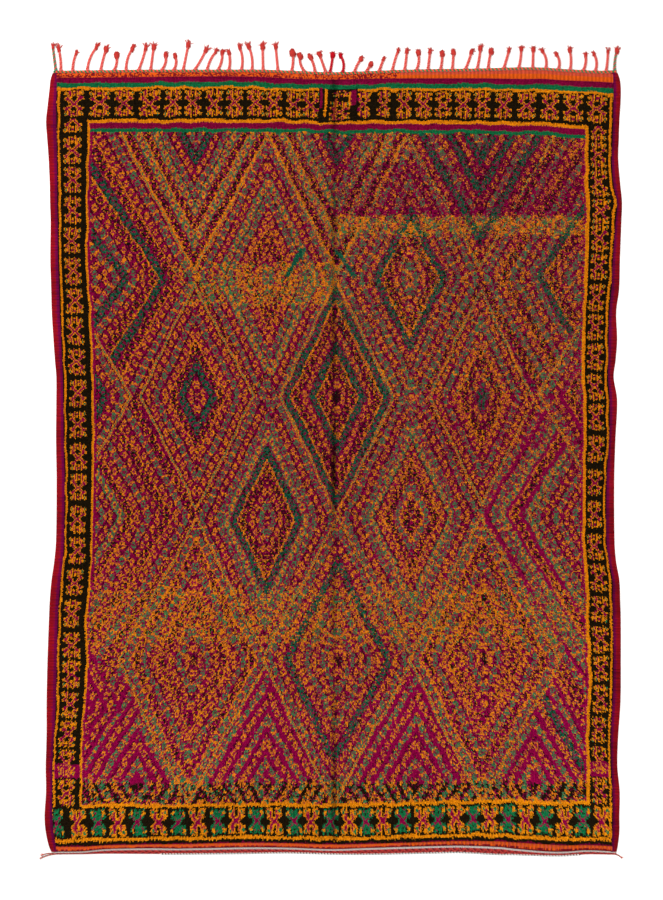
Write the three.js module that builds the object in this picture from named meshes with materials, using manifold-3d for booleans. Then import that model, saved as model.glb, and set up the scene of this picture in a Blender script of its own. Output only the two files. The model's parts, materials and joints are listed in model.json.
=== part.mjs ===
// Hand-knotted wool rug from the Middle Atlas, lying flat, with a tasselled cord along its top end.
// Millimetres, +Z up, X across the rug, +Y towards the tassels. The rug rests on the plane z = 0.

import * as THREE from 'three';
import Module from 'manifold-3d';

// Driving sizes of the woven cloth
const clothWidth = 2024; // between the widest points of the two selvedges
const clothLength = 2731; // from the top cord down to the bottom cord
const clothAside = 8; // the cloth's middle lies this far to the right of the fringed whole's
const clothBelow = 41; // and this far below it, because the tassels are all at the top
const underWall = 1.6; // height of the square-cut lower edge all round
const selvedgeHeight = 4.2; // flat-woven edges and ends
const edgeRound = 3.5; // how far in the flat-woven edge reaches its full height
const pileHeight = 12.5; // ground and knotted wool together
const pileEdgeHeight = 10.5; // the outermost rows of pile lean outwards and stand lower
const pileSlope = 6; // how far in the pile reaches its edge height

// How the pile stands, and the crease along the middle where the rug was folded for years
const pileLump = 0.7; // height of the broad, soft unevenness
const lumpWaves = [
  { across: 97, along: 310 },
  { across: -260, along: 83 },
  { across: 61, along: 61 },
];
const creaseDepth = 3.2;
const creaseHalf = 17; // how far from its middle the trough has mostly filled
const creaseOffset = 10; // to the right of the middle
const creaseSteps = [-34, -14, 0, 14, 34];
const fieldColumns = 10; // spaces between the crease and the pile's edge, on each side
const fieldRows = 37; // spaces along the pile

// Parts that touch in the real rug keep this gap
const seamGap = 0.3;

// The twined cord along the top, in its tassels' colour and green
const topCord = { width: 8.4, height: 5 };
// The pale cord that runs along the bottom, and the folded red braid outside it
const bottomCord = { width: 3.8, height: 3.6 };
const braidHeight = 4.6;
// Their section: two shoulders, at a share of the height and a share of the width in from each side
const shoulder = { rise: 0.62, inset: 0.056 };

// The side edges, from the top: how far each selvedge stands in from its widest point, and how wide
// its flat-woven band is before the pile starts
const sideColumns = ['down', 'leftIn', 'leftBand', 'rightIn', 'rightBand'];
const sideRows = [
  [0, 32, 14, 20, 14],
  [32, 21, 23, 8, 25],
  [66, 17, 26, 4, 26],
  [119, 11, 30, 5, 26],
  [178, 5, 37, 9, 23],
  [241, 9, 34, 11, 23],
  [311, 14, 30, 13, 24],
  [399, 18, 27, 6, 24],
  [462, 19, 26, 0, 18],
  [528, 21, 26, 2, 21],
  [661, 20, 28, 7, 26],
  [766, 23, 29, 10, 28],
  [843, 25, 29, 20, 25],
  [941, 31, 28, 17, 31],
  [1011, 36, 26, 22, 27],
  [1071, 41, 24, 29, 21],
  [1151, 41, 25, 17, 27],
  [1291, 40, 28, 23, 23],
  [1431, 42, 29, 27, 28],
  [1641, 40, 29, 26, 30],
  [1711, 34, 31, 21, 27],
  [1781, 24, 33, 9, 26],
  [1851, 18, 33, 6, 28],
  [1921, 15, 32, 4, 29],
  [2061, 10, 34, 4, 27],
  [2201, 7, 34, 5, 29],
  [2306, 7, 29, 12, 28],
  [2359, 6, 26, 15, 25],
  [2429, 4, 25, 16, 23],
  [2516, 5, 23, 8, 27],
  [2604, 0, 28, 9, 24],
  [2656, 4, 28, 9, 26],
  [2709, 16, 24, 15, 22],
  [2737, 30, 14, 22, 14],
];

// The top end, from left to right: how far it dips below the straight line, and its flat-woven band
const topColumns = ['across', 'dip', 'band'];
const topRows = [
  [-980, 6, 16],
  [-809, 4, 17],
  [-634, 2, 17],
  [-406, 2, 15],
  [-242, 2, 17],
  [-109, 7, 19],
  [4, 11, 17],
  [119, 8, 18],
  [242, 3, 21],
  [382, 0, 24],
  [522, -2, 26],
  [662, -6, 32],
  [749, -5, 31],
  [802, -1, 31],
  [872, 3, 30],
  [942, 6, 30],
  [1005, 4, 36],
];

// The bottom end: how far it rises above the straight line, its flat-woven band, and the braid's width
const bottomColumns = ['across', 'rise', 'band', 'braid'];
const bottomRows = [
  [-980, -4, 20, 5],
  [-875, -3, 18, 5],
  [-788, 5, 15, 12],
  [-637, 8, 15, 16],
  [-529, 7, 17, 15],
  [-301, 11, 18, 17],
  [-150, 10, 17, 14],
  [4, 5, 18, 13],
  [130, 9, 16, 18],
  [375, 16, 17, 20],
  [452, 17, 18, 20],
  [592, 12, 22, 22],
  [634, 7, 24, 17],
  [749, -3, 27, 11],
  [819, -4, 24, 10],
  [900, 1, 20, 10],
  [1000, -4, 20, 6],
];

// The tassels of the top cord, from left to right: where each starts, how far its tip leans to the right,
// how far it reaches, how far its middle bows to the right, and how thick the knot near its tip is
const tasselColumns = ['across', 'lean', 'reach', 'bow', 'knot'];
const tasselRows = [
  [-964, -12, 94, 0, 10],
  [-947, -10, 87, 4, 14],
  [-905, 15, 68, -4, 10],
  [-854, 40, 91, -9, 13],
  [-807, 22, 84, -2, 18],
  [-760, 7, 61, 6, 20],
  [-718, 28, 84, -8, 15],
  [-674, 27, 88, 2, 14],
  [-632, 12, 91, 0, 17],
  [-593, 12, 61, 8, 16],
  [-551, 1, 57, 8, 15],
  [-518, 20, 99, 0, 16],
  [-478, 44, 80, 2, 16],
  [-434, 36, 70, -6, 11],
  [-396, 14, 70, 6, 14],
  [-358, -2, 69, 5, 14],
  [-314, -10, 89, 8, 14],
  [-277, -17, 93, 8, 16],
  [-238, -2, 93, 0, 18],
  [-186, -9, 95, 0, 15],
  [-138, 2, 72, 4, 22],
  [-92, -15, 63, -8, 20],
  [-56, -21, 60, 4, 18],
  [-18, -25, 72, 0, 16],
  [-4, 10, 70, 2, 17],
  [40, -12, 65, 10, 13],
  [82, 28, 53, -3, 16],
  [124, 17, 30, 0, 18],
  [169, 17, 49, 0, 12],
  [215, 23, 76, -2, 11],
  [258, 8, 74, 1, 13],
  [300, 4, 68, 6, 18],
  [340, 8, 72, 0, 13],
  [384, 6, 63, 2, 18],
  [425, 4, 68, 1, 18],
  [471, 23, 69, 2, 15],
  [512, 12, 82, 2, 16],
  [551, 12, 68, -2, 19],
  [606, 20, 69, 0, 13],
  [658, 8, 75, 3, 14],
  [707, 2, 72, 0, 16],
  [753, -18, 67, 9, 14],
  [797, -12, 57, 9, 13],
  [838, -4, 78, 5, 15],
  [884, 6, 61, 6, 12],
  [926, -9, 67, 9, 12],
  [964, 6, 77, 2, 11],
  [994, 11, 79, -4, 17],
];

// A tassel's shape from root to tip: how far along, and whether it is as thick as its stem or its knot
const stemWidth = 10.5;
const profileColumns = ['along', 'stemShare', 'knotShare'];
const tasselProfile = [
  [0, 1.7, 0],
  [0.1, 1.05, 0],
  [0.35, 0.95, 0],
  [0.55, 1.05, 0],
  [0.66, 0.3, 0.55],
  [0.8, 0, 1],
  [0.9, 0, 0.8],
  [1, 0, 0.22],
];
// The plucked ends beside each knot: where they leave it, and how they spread
const frayedEnds = [
  { leaves: 0.72, spread: -0.55, length: 17, width: 4.5 },
  { leaves: 0.78, spread: 0.6, length: 15, width: 4.5 },
];
const frayedShape = { root: 1.5, tip: 0.45 }; // shares of an end's width
const frayedFrom = 15; // only knots at least this thick have them
const rootDepth = 3; // how far a tassel's root reaches into the cord
// A strand's section: half widths of its foot and its top, and its height, as shares of its width
const strandSection = { foot: 0.4, top: 0.31, height: 0.82, highest: 13 };

// The loose ends of the braid at the bottom corners: where each starts, its run, its bow and its width
const cornerColumns = ['across', 'up', 'runX', 'runY', 'bow', 'width'];
const cornerRows = [
  [-964, -1418, -54, -15, 3, 5],
  [-966, -1418, -47, -4, 4, 4],
  [990, -1418, 27, -12, -3, 5],
];
const cornerProfile = [
  { along: 0, share: 1 },
  { along: 0.5, share: 1 },
  { along: 0.8, share: 1.3 },
  { along: 1, share: 0.4 },
];

// One row of a table, with the names of its columns
const named = (columns, row) => Object.fromEntries(columns.map((column, k) => [column, row[k]]));

// Reads a table with named columns: the value of one column at a place along the first, on a smooth curve
function readTable(rows, columns, name, place) {
  const column = columns.indexOf(name);
  const last = rows.length - 1;
  const held = THREE.MathUtils.clamp(place, rows[0][0], rows[last][0]);
  let k = 0;
  while (k < last - 1 && rows[k + 1][0] < held) k += 1;
  const slopeAt = (n) => {
    const before = rows[Math.max(n - 1, 0)];
    const after = rows[Math.min(n + 1, last)];
    return (after[column] - before[column]) / (after[0] - before[0]);
  };
  const span = rows[k + 1][0] - rows[k][0];
  const t = (held - rows[k][0]) / span;
  const rise = rows[k + 1][column] - rows[k][column];
  const bendStart = slopeAt(k) * span - rise;
  const bendEnd = rise - slopeAt(k + 1) * span;
  return rows[k][column] + t * rise + t * (1 - t) * ((1 - t) * bendStart + t * bendEnd);
}

const topLine = clothLength / 2 - clothBelow;
const bottomLine = topLine - clothLength;
const side = (name, y) => readTable(sideRows, sideColumns, name, topLine - y);
const top = (name, x) => readTable(topRows, topColumns, name, x);
const bottom = (name, x) => readTable(bottomRows, bottomColumns, name, x);
const topEdge = (x) => topLine - top('dip', x);
const bottomEdge = (x) => bottomLine + bottom('rise', x);

// The height of the pile: broad lumps from three slow waves, and the crease as a soft trough
function pileTop(x, y) {
  const lumps = lumpWaves.reduce((sum, wave) => sum + Math.sin(x / wave.across + y / wave.along), 0);
  const fromCrease = (x - creaseOffset) / creaseHalf;
  const trough = creaseDepth * Math.exp(-fromCrease * fromCrease);
  return pileHeight + (pileLump * lumps) / lumpWaves.length - trough;
}

// The stations across the rug at one height: places in from the edges, with the pile's share of the rise
function acrossStations(y) {
  const left = clothAside - clothWidth / 2 + side('leftIn', y);
  const right = clothAside + clothWidth / 2 - side('rightIn', y);
  const leftBand = side('leftBand', y);
  const rightBand = side('rightBand', y);
  const stations = [
    { x: left, level: 'edge' },
    { x: left + edgeRound, level: 'woven' },
    { x: left + leftBand, level: 'woven' },
    { x: left + leftBand + pileSlope, level: 'rim' },
  ];
  const spread = (from, to) => {
    for (let k = 1; k < fieldColumns; k += 1) {
      stations.push({ x: THREE.MathUtils.lerp(from, to, k / fieldColumns), level: 'pile' });
    }
  };
  spread(left + leftBand + pileSlope, creaseOffset + creaseSteps[0]);
  for (const step of creaseSteps) stations.push({ x: creaseOffset + step, level: 'pile' });
  spread(creaseOffset + creaseSteps.at(-1), right - rightBand - pileSlope);
  stations.push(
    { x: right - rightBand - pileSlope, level: 'rim' },
    { x: right - rightBand, level: 'woven' },
    { x: right - edgeRound, level: 'woven' },
    { x: right, level: 'edge' },
  );
  return stations;
}

// The stations along the rug at one place across, from the bottom end to the top end
function alongStations(x) {
  const low = bottomEdge(x);
  const high = topEdge(x);
  const pileLow = low + bottom('band', x);
  const pileHigh = high - top('band', x);
  const stations = [
    { y: low, level: 'edge' },
    { y: low + edgeRound, level: 'woven' },
    { y: pileLow, level: 'woven' },
    { y: pileLow + pileSlope, level: 'rim' },
  ];
  for (let k = 1; k < fieldRows; k += 1) {
    const y = THREE.MathUtils.lerp(pileLow + pileSlope, pileHigh - pileSlope, k / fieldRows);
    stations.push({ y, level: 'pile' });
  }
  stations.push(
    { y: pileHigh - pileSlope, level: 'rim' },
    { y: pileHigh, level: 'woven' },
    { y: high - edgeRound, level: 'woven' },
    { y: high, level: 'edge' },
  );
  return stations;
}

// A point of the cloth's upper face is as high as the lower of the two profiles that cross there
function surfaceHeight(levelAcross, levelAlong, x, y) {
  const levels = [levelAcross, levelAlong];
  if (levels.includes('edge')) return underWall;
  if (levels.includes('woven')) return selvedgeHeight;
  if (levels.includes('rim')) return pileEdgeHeight;
  return pileTop(x, y);
}

function geometryOf(points, faces) {
  const geometry = new THREE.BufferGeometry();
  geometry.setAttribute('position', new THREE.Float32BufferAttribute(points.flat(), 3));
  geometry.setIndex(faces.flat());
  return geometry;
}

// The woven cloth: a grid for the upper face, a low upright wall round it and a flat underside
function clothGrid() {
  const nominal = alongStations(0);
  return nominal.map((row, j) =>
    acrossStations(row.y).map((station) => {
      const along = alongStations(station.x)[j];
      return [station.x, along.y, surfaceHeight(station.level, along.level, station.x, along.y)];
    }),
  );
}

function clothGeometry(grid) {
  const rows = grid.length;
  const columns = grid[0].length;
  const points = grid.flat();
  const faces = [];
  const at = (j, i) => j * columns + i;
  for (let j = 0; j < rows - 1; j += 1) {
    for (let i = 0; i < columns - 1; i += 1) {
      faces.push([at(j, i), at(j, i + 1), at(j + 1, i + 1)]);
      faces.push([at(j, i), at(j + 1, i + 1), at(j + 1, i)]);
    }
  }
  const ring = [];
  for (let i = 0; i < columns - 1; i += 1) ring.push(at(0, i));
  for (let j = 0; j < rows - 1; j += 1) ring.push(at(j, columns - 1));
  for (let i = columns - 1; i > 0; i -= 1) ring.push(at(rows - 1, i));
  for (let j = rows - 1; j > 0; j -= 1) ring.push(at(j, 0));
  const foot = points.length;
  for (const k of ring) points.push([points[k][0], points[k][1], 0]);
  const middle = points.length;
  points.push([0, (topLine + bottomLine) / 2, 0]);
  ring.forEach((k, n) => {
    const next = (n + 1) % ring.length;
    faces.push([foot + n, foot + next, ring[next]], [foot + n, ring[next], k]);
    faces.push([middle, foot + next, foot + n]);
  });
  return geometryOf(points, faces);
}

// A closed solid through matching rings of points, each ring anticlockwise seen from the far end
function loft(rings) {
  const count = rings[0].length;
  const points = rings.flat();
  const faces = [];
  for (let s = 0; s < rings.length - 1; s += 1) {
    for (let k = 0; k < count; k += 1) {
      const a = s * count + k;
      const b = s * count + ((k + 1) % count);
      faces.push([a, b, b + count], [a, b + count, a + count]);
    }
  }
  const end = (rings.length - 1) * count;
  for (let k = 1; k < count - 1; k += 1) {
    faces.push([0, k + 1, k], [end, end + k, end + k + 1]);
  }
  return geometryOf(points, faces);
}

// A strip that lies on the floor beside the cloth: flat below, rounded above, one ring for each station
function strip(stations, height) {
  const rings = stations.map(({ x, low, high }) => {
    const inset = (high - low) * shoulder.inset;
    return [
      [x, low, 0],
      [x, high, 0],
      [x, high - inset, height * shoulder.rise],
      [x, (low + high) / 2, height],
      [x, low + inset, height * shoulder.rise],
    ];
  });
  return loft(rings);
}

// A strand that lies on the floor along a bowed path: a four-sided section with a level foot
function strand(start, run, bow, widths) {
  const length = Math.hypot(run[0], run[1]);
  const ahead = [run[0] / length, run[1] / length];
  const toRight = [ahead[1], -ahead[0]];
  const rings = widths.map(({ along, width }) => {
    const swing = 4 * bow * along * (1 - along);
    const x = start[0] + run[0] * along + toRight[0] * swing;
    const y = start[1] + run[1] * along + toRight[1] * swing;
    const foot = width * strandSection.foot;
    const crown = width * strandSection.top;
    const height = Math.min(width * strandSection.height, strandSection.highest);
    const point = (aside, z) => [x + toRight[0] * aside, y + toRight[1] * aside, z];
    return [point(-foot, 0), point(-crown, height), point(crown, height), point(foot, 0)];
  });
  return loft(rings);
}

const wasm = await Module();
wasm.setup();

// Joins closed geometries into one solid
function join(geometries) {
  const solids = geometries.map((geometry) => {
    const vertProperties = new Float32Array(geometry.getAttribute('position').array);
    const triVerts = new Uint32Array(geometry.getIndex().array);
    return new wasm.Manifold(new wasm.Mesh({ numProp: 3, vertProperties, triVerts }));
  });
  const whole = solids.reduce((sum, solid) => sum.add(solid));
  const mesh = whole.getMesh();
  const geometry = new THREE.BufferGeometry();
  geometry.setAttribute('position', new THREE.Float32BufferAttribute(mesh.vertProperties, 3));
  geometry.setIndex(Array.from(mesh.triVerts));
  return geometry;
}

// One tassel: a stem with its knot, and the frayed ends that stand out of the knot
function tasselSolids(row) {
  const { across, lean, reach, bow, knot } = named(tasselColumns, row);
  const start = [across, topEdge(across) + seamGap + topCord.width - rootDepth];
  const run = [lean, reach + rootDepth];
  const widths = tasselProfile.map((step) => {
    const { along, stemShare, knotShare } = named(profileColumns, step);
    return { along, width: stemWidth * stemShare + knot * knotShare };
  });
  const solids = [strand(start, run, bow, widths)];
  if (knot < frayedFrom) return solids;
  for (const { leaves, spread, length, width } of frayedEnds) {
    const swing = 4 * bow * leaves * (1 - leaves);
    const from = [start[0] + lean * leaves + swing, start[1] + reach * leaves];
    const heading = Math.atan2(lean, reach) + spread;
    const end = [Math.sin(heading) * length, Math.cos(heading) * length];
    const endWidths = [
      { along: 0, width: width * frayedShape.root },
      { along: 1, width: width * frayedShape.tip },
    ];
    solids.push(strand(from, end, 0, endWidths));
  }
  return solids;
}

// One loose end of the braid, a little thicker where it frays
function cornerSolid(row) {
  const { across, up, runX, runY, bow, width } = named(cornerColumns, row);
  const widths = cornerProfile.map(({ along, share }) => ({ along, width: width * share }));
  return strand([across, up], [runX, runY], bow, widths);
}

const grid = clothGrid();
const lowerRow = grid[0];
const upperRow = grid.at(-1);

const topCordStations = upperRow.map(([x, y]) => ({
  x,
  low: y + seamGap,
  high: y + seamGap + topCord.width,
}));
const bottomCordStations = lowerRow.map(([x, y]) => ({
  x,
  low: y - seamGap - bottomCord.width,
  high: y - seamGap,
}));
const braidStations = bottomCordStations.map(({ x, low }) => ({
  x,
  low: low - seamGap - bottom('braid', x),
  high: low - seamGap,
}));

// Colours of the wools
const pileWool = new THREE.MeshStandardMaterial({ color: '#8a2a26', roughness: 0.95, metalness: 0 });
const tasselWool = new THREE.MeshStandardMaterial({ color: '#dc5a4e', roughness: 0.9, metalness: 0 });
const paleWool = new THREE.MeshStandardMaterial({ color: '#cfc3b2', roughness: 0.9, metalness: 0 });
const braidWool = new THREE.MeshStandardMaterial({ color: '#b03a3a', roughness: 0.9, metalness: 0 });

const rug = new THREE.Group();

function addPiece(name, geometry, material) {
  const mesh = new THREE.Mesh(geometry, material);
  mesh.name = name;
  rug.add(mesh);
}

addPiece('rug_cloth', clothGeometry(grid), pileWool);
addPiece(
  'top_cord_tassels',
  join([strip(topCordStations, topCord.height), ...tasselRows.flatMap(tasselSolids)]),
  tasselWool,
);
addPiece('bottom_cord', strip(bottomCordStations, bottomCord.height), paleWool);
addPiece(
  'bottom_braid',
  join([strip(braidStations, braidHeight), ...cornerRows.map(cornerSolid)]),
  braidWool,
);

// The origin is the middle of the rug's footprint on the floor
const footprint = new THREE.Box3().setFromObject(rug);
const middle = footprint.getCenter(new THREE.Vector3());
rug.position.set(-middle.x, -middle.y, 0);
rug.updateMatrixWorld(true);

export default rug;
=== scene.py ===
# Berber rug, lying flat: knotted wool pile inside flat-woven edges, tassels along the top, braid below.
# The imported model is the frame; everything here is laid in its box, in metres.
import json
import math

import bpy
import numpy as np
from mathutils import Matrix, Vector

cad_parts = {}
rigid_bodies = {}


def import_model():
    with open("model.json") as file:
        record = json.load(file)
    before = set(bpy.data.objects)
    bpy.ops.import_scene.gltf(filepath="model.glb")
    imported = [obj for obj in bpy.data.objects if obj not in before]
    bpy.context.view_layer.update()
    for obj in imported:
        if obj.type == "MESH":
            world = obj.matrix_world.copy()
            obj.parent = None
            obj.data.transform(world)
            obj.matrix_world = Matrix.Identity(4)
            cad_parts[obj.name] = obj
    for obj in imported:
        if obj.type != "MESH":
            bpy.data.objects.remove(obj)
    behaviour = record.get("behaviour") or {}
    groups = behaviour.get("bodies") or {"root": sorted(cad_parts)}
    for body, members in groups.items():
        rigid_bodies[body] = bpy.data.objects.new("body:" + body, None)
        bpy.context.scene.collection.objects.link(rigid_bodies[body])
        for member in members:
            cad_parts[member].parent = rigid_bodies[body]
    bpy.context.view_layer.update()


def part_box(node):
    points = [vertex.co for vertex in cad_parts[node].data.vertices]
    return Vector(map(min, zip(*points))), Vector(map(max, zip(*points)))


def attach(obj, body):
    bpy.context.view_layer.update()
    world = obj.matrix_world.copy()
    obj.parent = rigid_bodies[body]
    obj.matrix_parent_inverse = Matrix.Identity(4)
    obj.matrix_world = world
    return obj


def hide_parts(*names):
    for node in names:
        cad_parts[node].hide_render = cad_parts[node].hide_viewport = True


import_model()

mm = 0.001
dice = np.random.default_rng(41)


# 1. Reading tables and colours

def linearColour(hexCode):
    # sRGB hex to linear light: below 0.04045 a straight line, above it a power of 2.4
    channels = np.array([int(hexCode[k:k + 2], 16) for k in (1, 3, 5)]) / 255
    return np.where(channels <= 0.04045, channels / 12.92, ((channels + 0.055) / 1.055) ** 2.4)


def linearColours(codes):
    return [linearColour(code) for code in codes]


def readRows(rows, column, place):
    # smooth curve through a table: value + share of the rise + share * (1 - share) * the two bends,
    # where each row's slope is taken from the rows beside it
    places, values = rows[:, 0], rows[:, column]
    slope = np.empty(len(places))
    slope[1:-1] = (values[2:] - values[:-2]) / (places[2:] - places[:-2])
    slope[0] = (values[1] - values[0]) / (places[1] - places[0])
    slope[-1] = (values[-1] - values[-2]) / (places[-1] - places[-2])
    held = np.clip(place, places[0], places[-1])
    k = np.clip(np.searchsorted(places, held, side="right") - 1, 0, len(places) - 2)
    span = places[k + 1] - places[k]
    share = (held - places[k]) / span
    rise = values[k + 1] - values[k]
    bend = (1 - share) * (slope[k] * span - rise) + share * (rise - slope[k + 1] * span)
    return values[k] + share * rise + share * (1 - share) * bend


def softNoise(x, y, size, seed):
    # sum of six slow waves in random directions, from about -1 to 1; size is the wave's length
    waves = np.random.default_rng(seed)
    total = np.zeros(np.broadcast(x, y).shape)
    for turn, phase, stretch in waves.uniform(0, 1, (6, 3)):
        angle, length = 2 * math.pi * turn, size * (0.6 + 0.9 * stretch)
        along = x * math.cos(angle) + y * math.sin(angle)
        total = total + np.sin(2 * math.pi * (along / length + phase))
    return total / 3


# 2. The woven outline, in millimetres, in the same sizes as the solids

cloth = {
    "width": 2024,
    "length": 2731,
    "aside": 8,  # the cloth's middle lies this far to the right of the fringed whole's
    "below": 41,
    "flatHeight": 4.2,
    "pileHeight": 12.5,
    "pileEdge": 10.5,  # the outermost rows lean out and stand lower
    "lump": 0.7,
    "creaseDepth": 3.2,
    "creaseAt": 10,
    "creaseHalf": 17,
}

# down from the top edge; each side: how far in the edge stands, its flat-woven band, its pile border
sideRows = np.array([
    (0, 32, 14, 119, 20, 14, 100),
    (32, 21, 23, 119, 8, 25, 100),
    (66, 17, 26, 119, 4, 26, 100),
    (119, 11, 30, 119, 5, 26, 100),
    (178, 5, 37, 119, 9, 23, 100),
    (241, 9, 34, 116, 11, 23, 97),
    (311, 14, 30, 113, 13, 24, 94),
    (399, 18, 27, 111, 6, 24, 102),
    (462, 19, 26, 110, 0, 18, 109),
    (528, 21, 26, 108, 2, 21, 106),
    (661, 20, 28, 104, 7, 26, 98),
    (766, 23, 29, 108, 10, 28, 97),
    (843, 25, 29, 109, 20, 25, 95),
    (941, 31, 28, 108, 17, 31, 93),
    (1011, 36, 26, 108, 22, 27, 92),
    (1071, 41, 24, 108, 29, 21, 93),
    (1151, 41, 25, 107, 17, 27, 95),
    (1291, 40, 28, 106, 23, 23, 89),
    (1431, 42, 29, 102, 27, 28, 84),
    (1641, 40, 29, 100, 26, 30, 82),
    (1711, 34, 31, 102, 21, 27, 88),
    (1781, 24, 33, 104, 9, 26, 96),
    (1851, 18, 33, 107, 6, 28, 95),
    (1921, 15, 32, 103, 4, 29, 94),
    (2061, 10, 34, 109, 4, 27, 90),
    (2201, 7, 34, 106, 5, 29, 88),
    (2306, 7, 29, 101, 12, 28, 87),
    (2359, 6, 26, 101, 15, 25, 87),
    (2429, 4, 25, 104, 16, 23, 88),
    (2516, 5, 23, 106, 8, 27, 92),
    (2604, 0, 28, 104, 9, 24, 94),
    (2656, 4, 28, 104, 9, 26, 94),
    (2709, 16, 24, 104, 15, 22, 94),
    (2737, 30, 14, 104, 22, 14, 94),
], float)

# across; at the top: how far the edge dips, its flat-woven band, the depth of the border's pile
topRows = np.array([
    (-980, 6, 16, 192),
    (-809, 4, 17, 192),
    (-634, 2, 17, 194),
    (-406, 2, 15, 196),
    (-242, 2, 17, 194),
    (-109, 7, 19, 189),
    (4, 11, 17, 190),
    (119, 8, 18, 191),
    (242, 3, 21, 193),
    (382, 0, 24, 194),
    (522, -2, 26, 195),
    (662, -6, 32, 197),
    (749, -5, 31, 199),
    (802, -1, 31, 201),
    (872, 3, 30, 202),
    (942, 6, 30, 202),
    (1005, 4, 36, 202),
], float)

# across; at the bottom: how far the edge rises, its flat-woven band, the braid's width, the border's pile
bottomRows = np.array([
    (-980, -4, 20, 5, 152),
    (-875, -3, 18, 5, 152),
    (-788, 5, 15, 12, 148),
    (-637, 8, 15, 16, 144),
    (-529, 7, 17, 15, 141),
    (-301, 11, 18, 17, 141),
    (-150, 10, 17, 14, 143),
    (4, 5, 18, 13, 145),
    (130, 9, 16, 18, 145),
    (375, 16, 17, 20, 144),
    (452, 17, 18, 20, 144),
    (592, 12, 22, 22, 148),
    (634, 7, 24, 17, 150),
    (749, -3, 27, 11, 152),
    (819, -4, 24, 10, 154),
    (900, 1, 20, 10, 157),
    (1000, -4, 20, 6, 158),
], float)

topLine = cloth["length"] / 2 - cloth["below"]
bottomLine = topLine - cloth["length"]


def leftEdge(y):
    return cloth["aside"] - cloth["width"] / 2 + readRows(sideRows, 1, topLine - y)


def rightEdge(y):
    return cloth["aside"] + cloth["width"] / 2 - readRows(sideRows, 4, topLine - y)


def topEdge(x):
    return topLine - readRows(topRows, 1, x)


def bottomEdge(x):
    return bottomLine + readRows(bottomRows, 1, x)


def pileTop(x, y):
    # height + broad lumps from three waves - a soft trough where the rug lay folded
    lumps = np.sin(x / 97 + y / 310) + np.sin(y / 83 - x / 260) + np.sin((x + y) / 61)
    fromCrease = (x - cloth["creaseAt"]) / cloth["creaseHalf"]
    return cloth["pileHeight"] + cloth["lump"] * lumps / 3 - cloth["creaseDepth"] * np.exp(-fromCrease ** 2)


# The frame's origin is the middle of the footprint, so raw places shift by what separates the two
everyY = np.linspace(bottomLine, topLine, 600)
everyX = np.linspace(-990, 1000, 600)
clothLow, clothHigh = (np.array(corner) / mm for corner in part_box("rug_cloth"))
shift = np.array([
    (clothLow[0] + clothHigh[0] - leftEdge(everyY).min() - rightEdge(everyY).max()) / 2,
    (clothLow[1] + clothHigh[1] - bottomEdge(everyX).min() - topEdge(everyX).max()) / 2,
    0,
])
print("outline: shift", np.round(shift, 1), "mm")


# 3. Making meshes and materials

def woolPiece(name, shape, material, uv=None, smooth=True):
    # points in raw millimetres, faces of three or four corners, a linear colour for each face or corner
    points, faces, colours = shape
    points = (np.asarray(points, float) + shift) * mm
    faces = np.asarray(faces, np.int32)
    count, corners = faces.shape
    mesh = bpy.data.meshes.new(name)
    mesh.vertices.add(len(points))
    mesh.vertices.foreach_set("co", points.ravel())
    mesh.loops.add(count * corners)
    mesh.loops.foreach_set("vertex_index", faces.ravel())
    mesh.polygons.add(count)
    mesh.polygons.foreach_set("loop_start", np.arange(0, count * corners, corners, dtype=np.int32))
    mesh.polygons.foreach_set("use_smooth", np.full(count, smooth))
    mesh.update(calc_edges=True)
    wool = mesh.color_attributes.new("wool", "BYTE_COLOR", "CORNER")
    rgba = np.ones((count, corners, 4))
    rgba[:, :, :3] = np.clip(np.asarray(colours).reshape(count, -1, 3), 0, 1)
    wool.data.foreach_set("color", rgba.ravel())
    if uv is not None:
        layer = mesh.uv_layers.new(name="OFBake")
        layer.data.foreach_set("uv", np.asarray(uv, float).ravel())
    mesh.materials.append(materials[material])
    piece = bpy.data.objects.new(name, mesh)
    bpy.context.scene.collection.objects.link(piece)
    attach(piece, "root")
    return piece


def joined(parts):
    # several (points, faces, colours) as one
    points, faces, colours = zip(*parts)
    offsets = np.cumsum([0] + [len(some) for some in points[:-1]])
    faces = [some + offset for some, offset in zip(faces, offsets)]
    return np.concatenate(points), np.concatenate(faces), np.concatenate(colours)


def gridFaces(deep, wide):
    # the faces over a grid of points, this many down and across
    row, column = np.meshgrid(np.arange(deep), np.arange(wide), indexing="ij")
    first = (row * (wide + 1) + column).ravel()
    return np.stack([first, first + wide + 1, first + wide + 2, first + 1], 1)


def tubeFaces(steps, sides):
    # the faces round a tube, whose rings of points follow one another
    row, column = np.meshgrid(np.arange(steps), np.arange(sides), indexing="ij")
    first, beside = row * sides + column, row * sides + (column + 1) % sides
    return np.stack([first, beside, beside + sides, first + sides], -1).reshape(-1, 4)


def ringAngles(sides):
    return 2 * math.pi * np.arange(sides) / sides


def addNode(tree, kind, settings=None, links=None):
    # one node with its settings, and its inputs linked or set
    node = tree.nodes.new(kind)
    for name, value in (settings or {}).items():
        setattr(node, name, value)
    for socket, source in (links or {}).items():
        if isinstance(source, bpy.types.NodeSocket):
            tree.links.new(source, node.inputs[socket])
        else:
            node.inputs[socket].default_value = source
    return node


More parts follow.
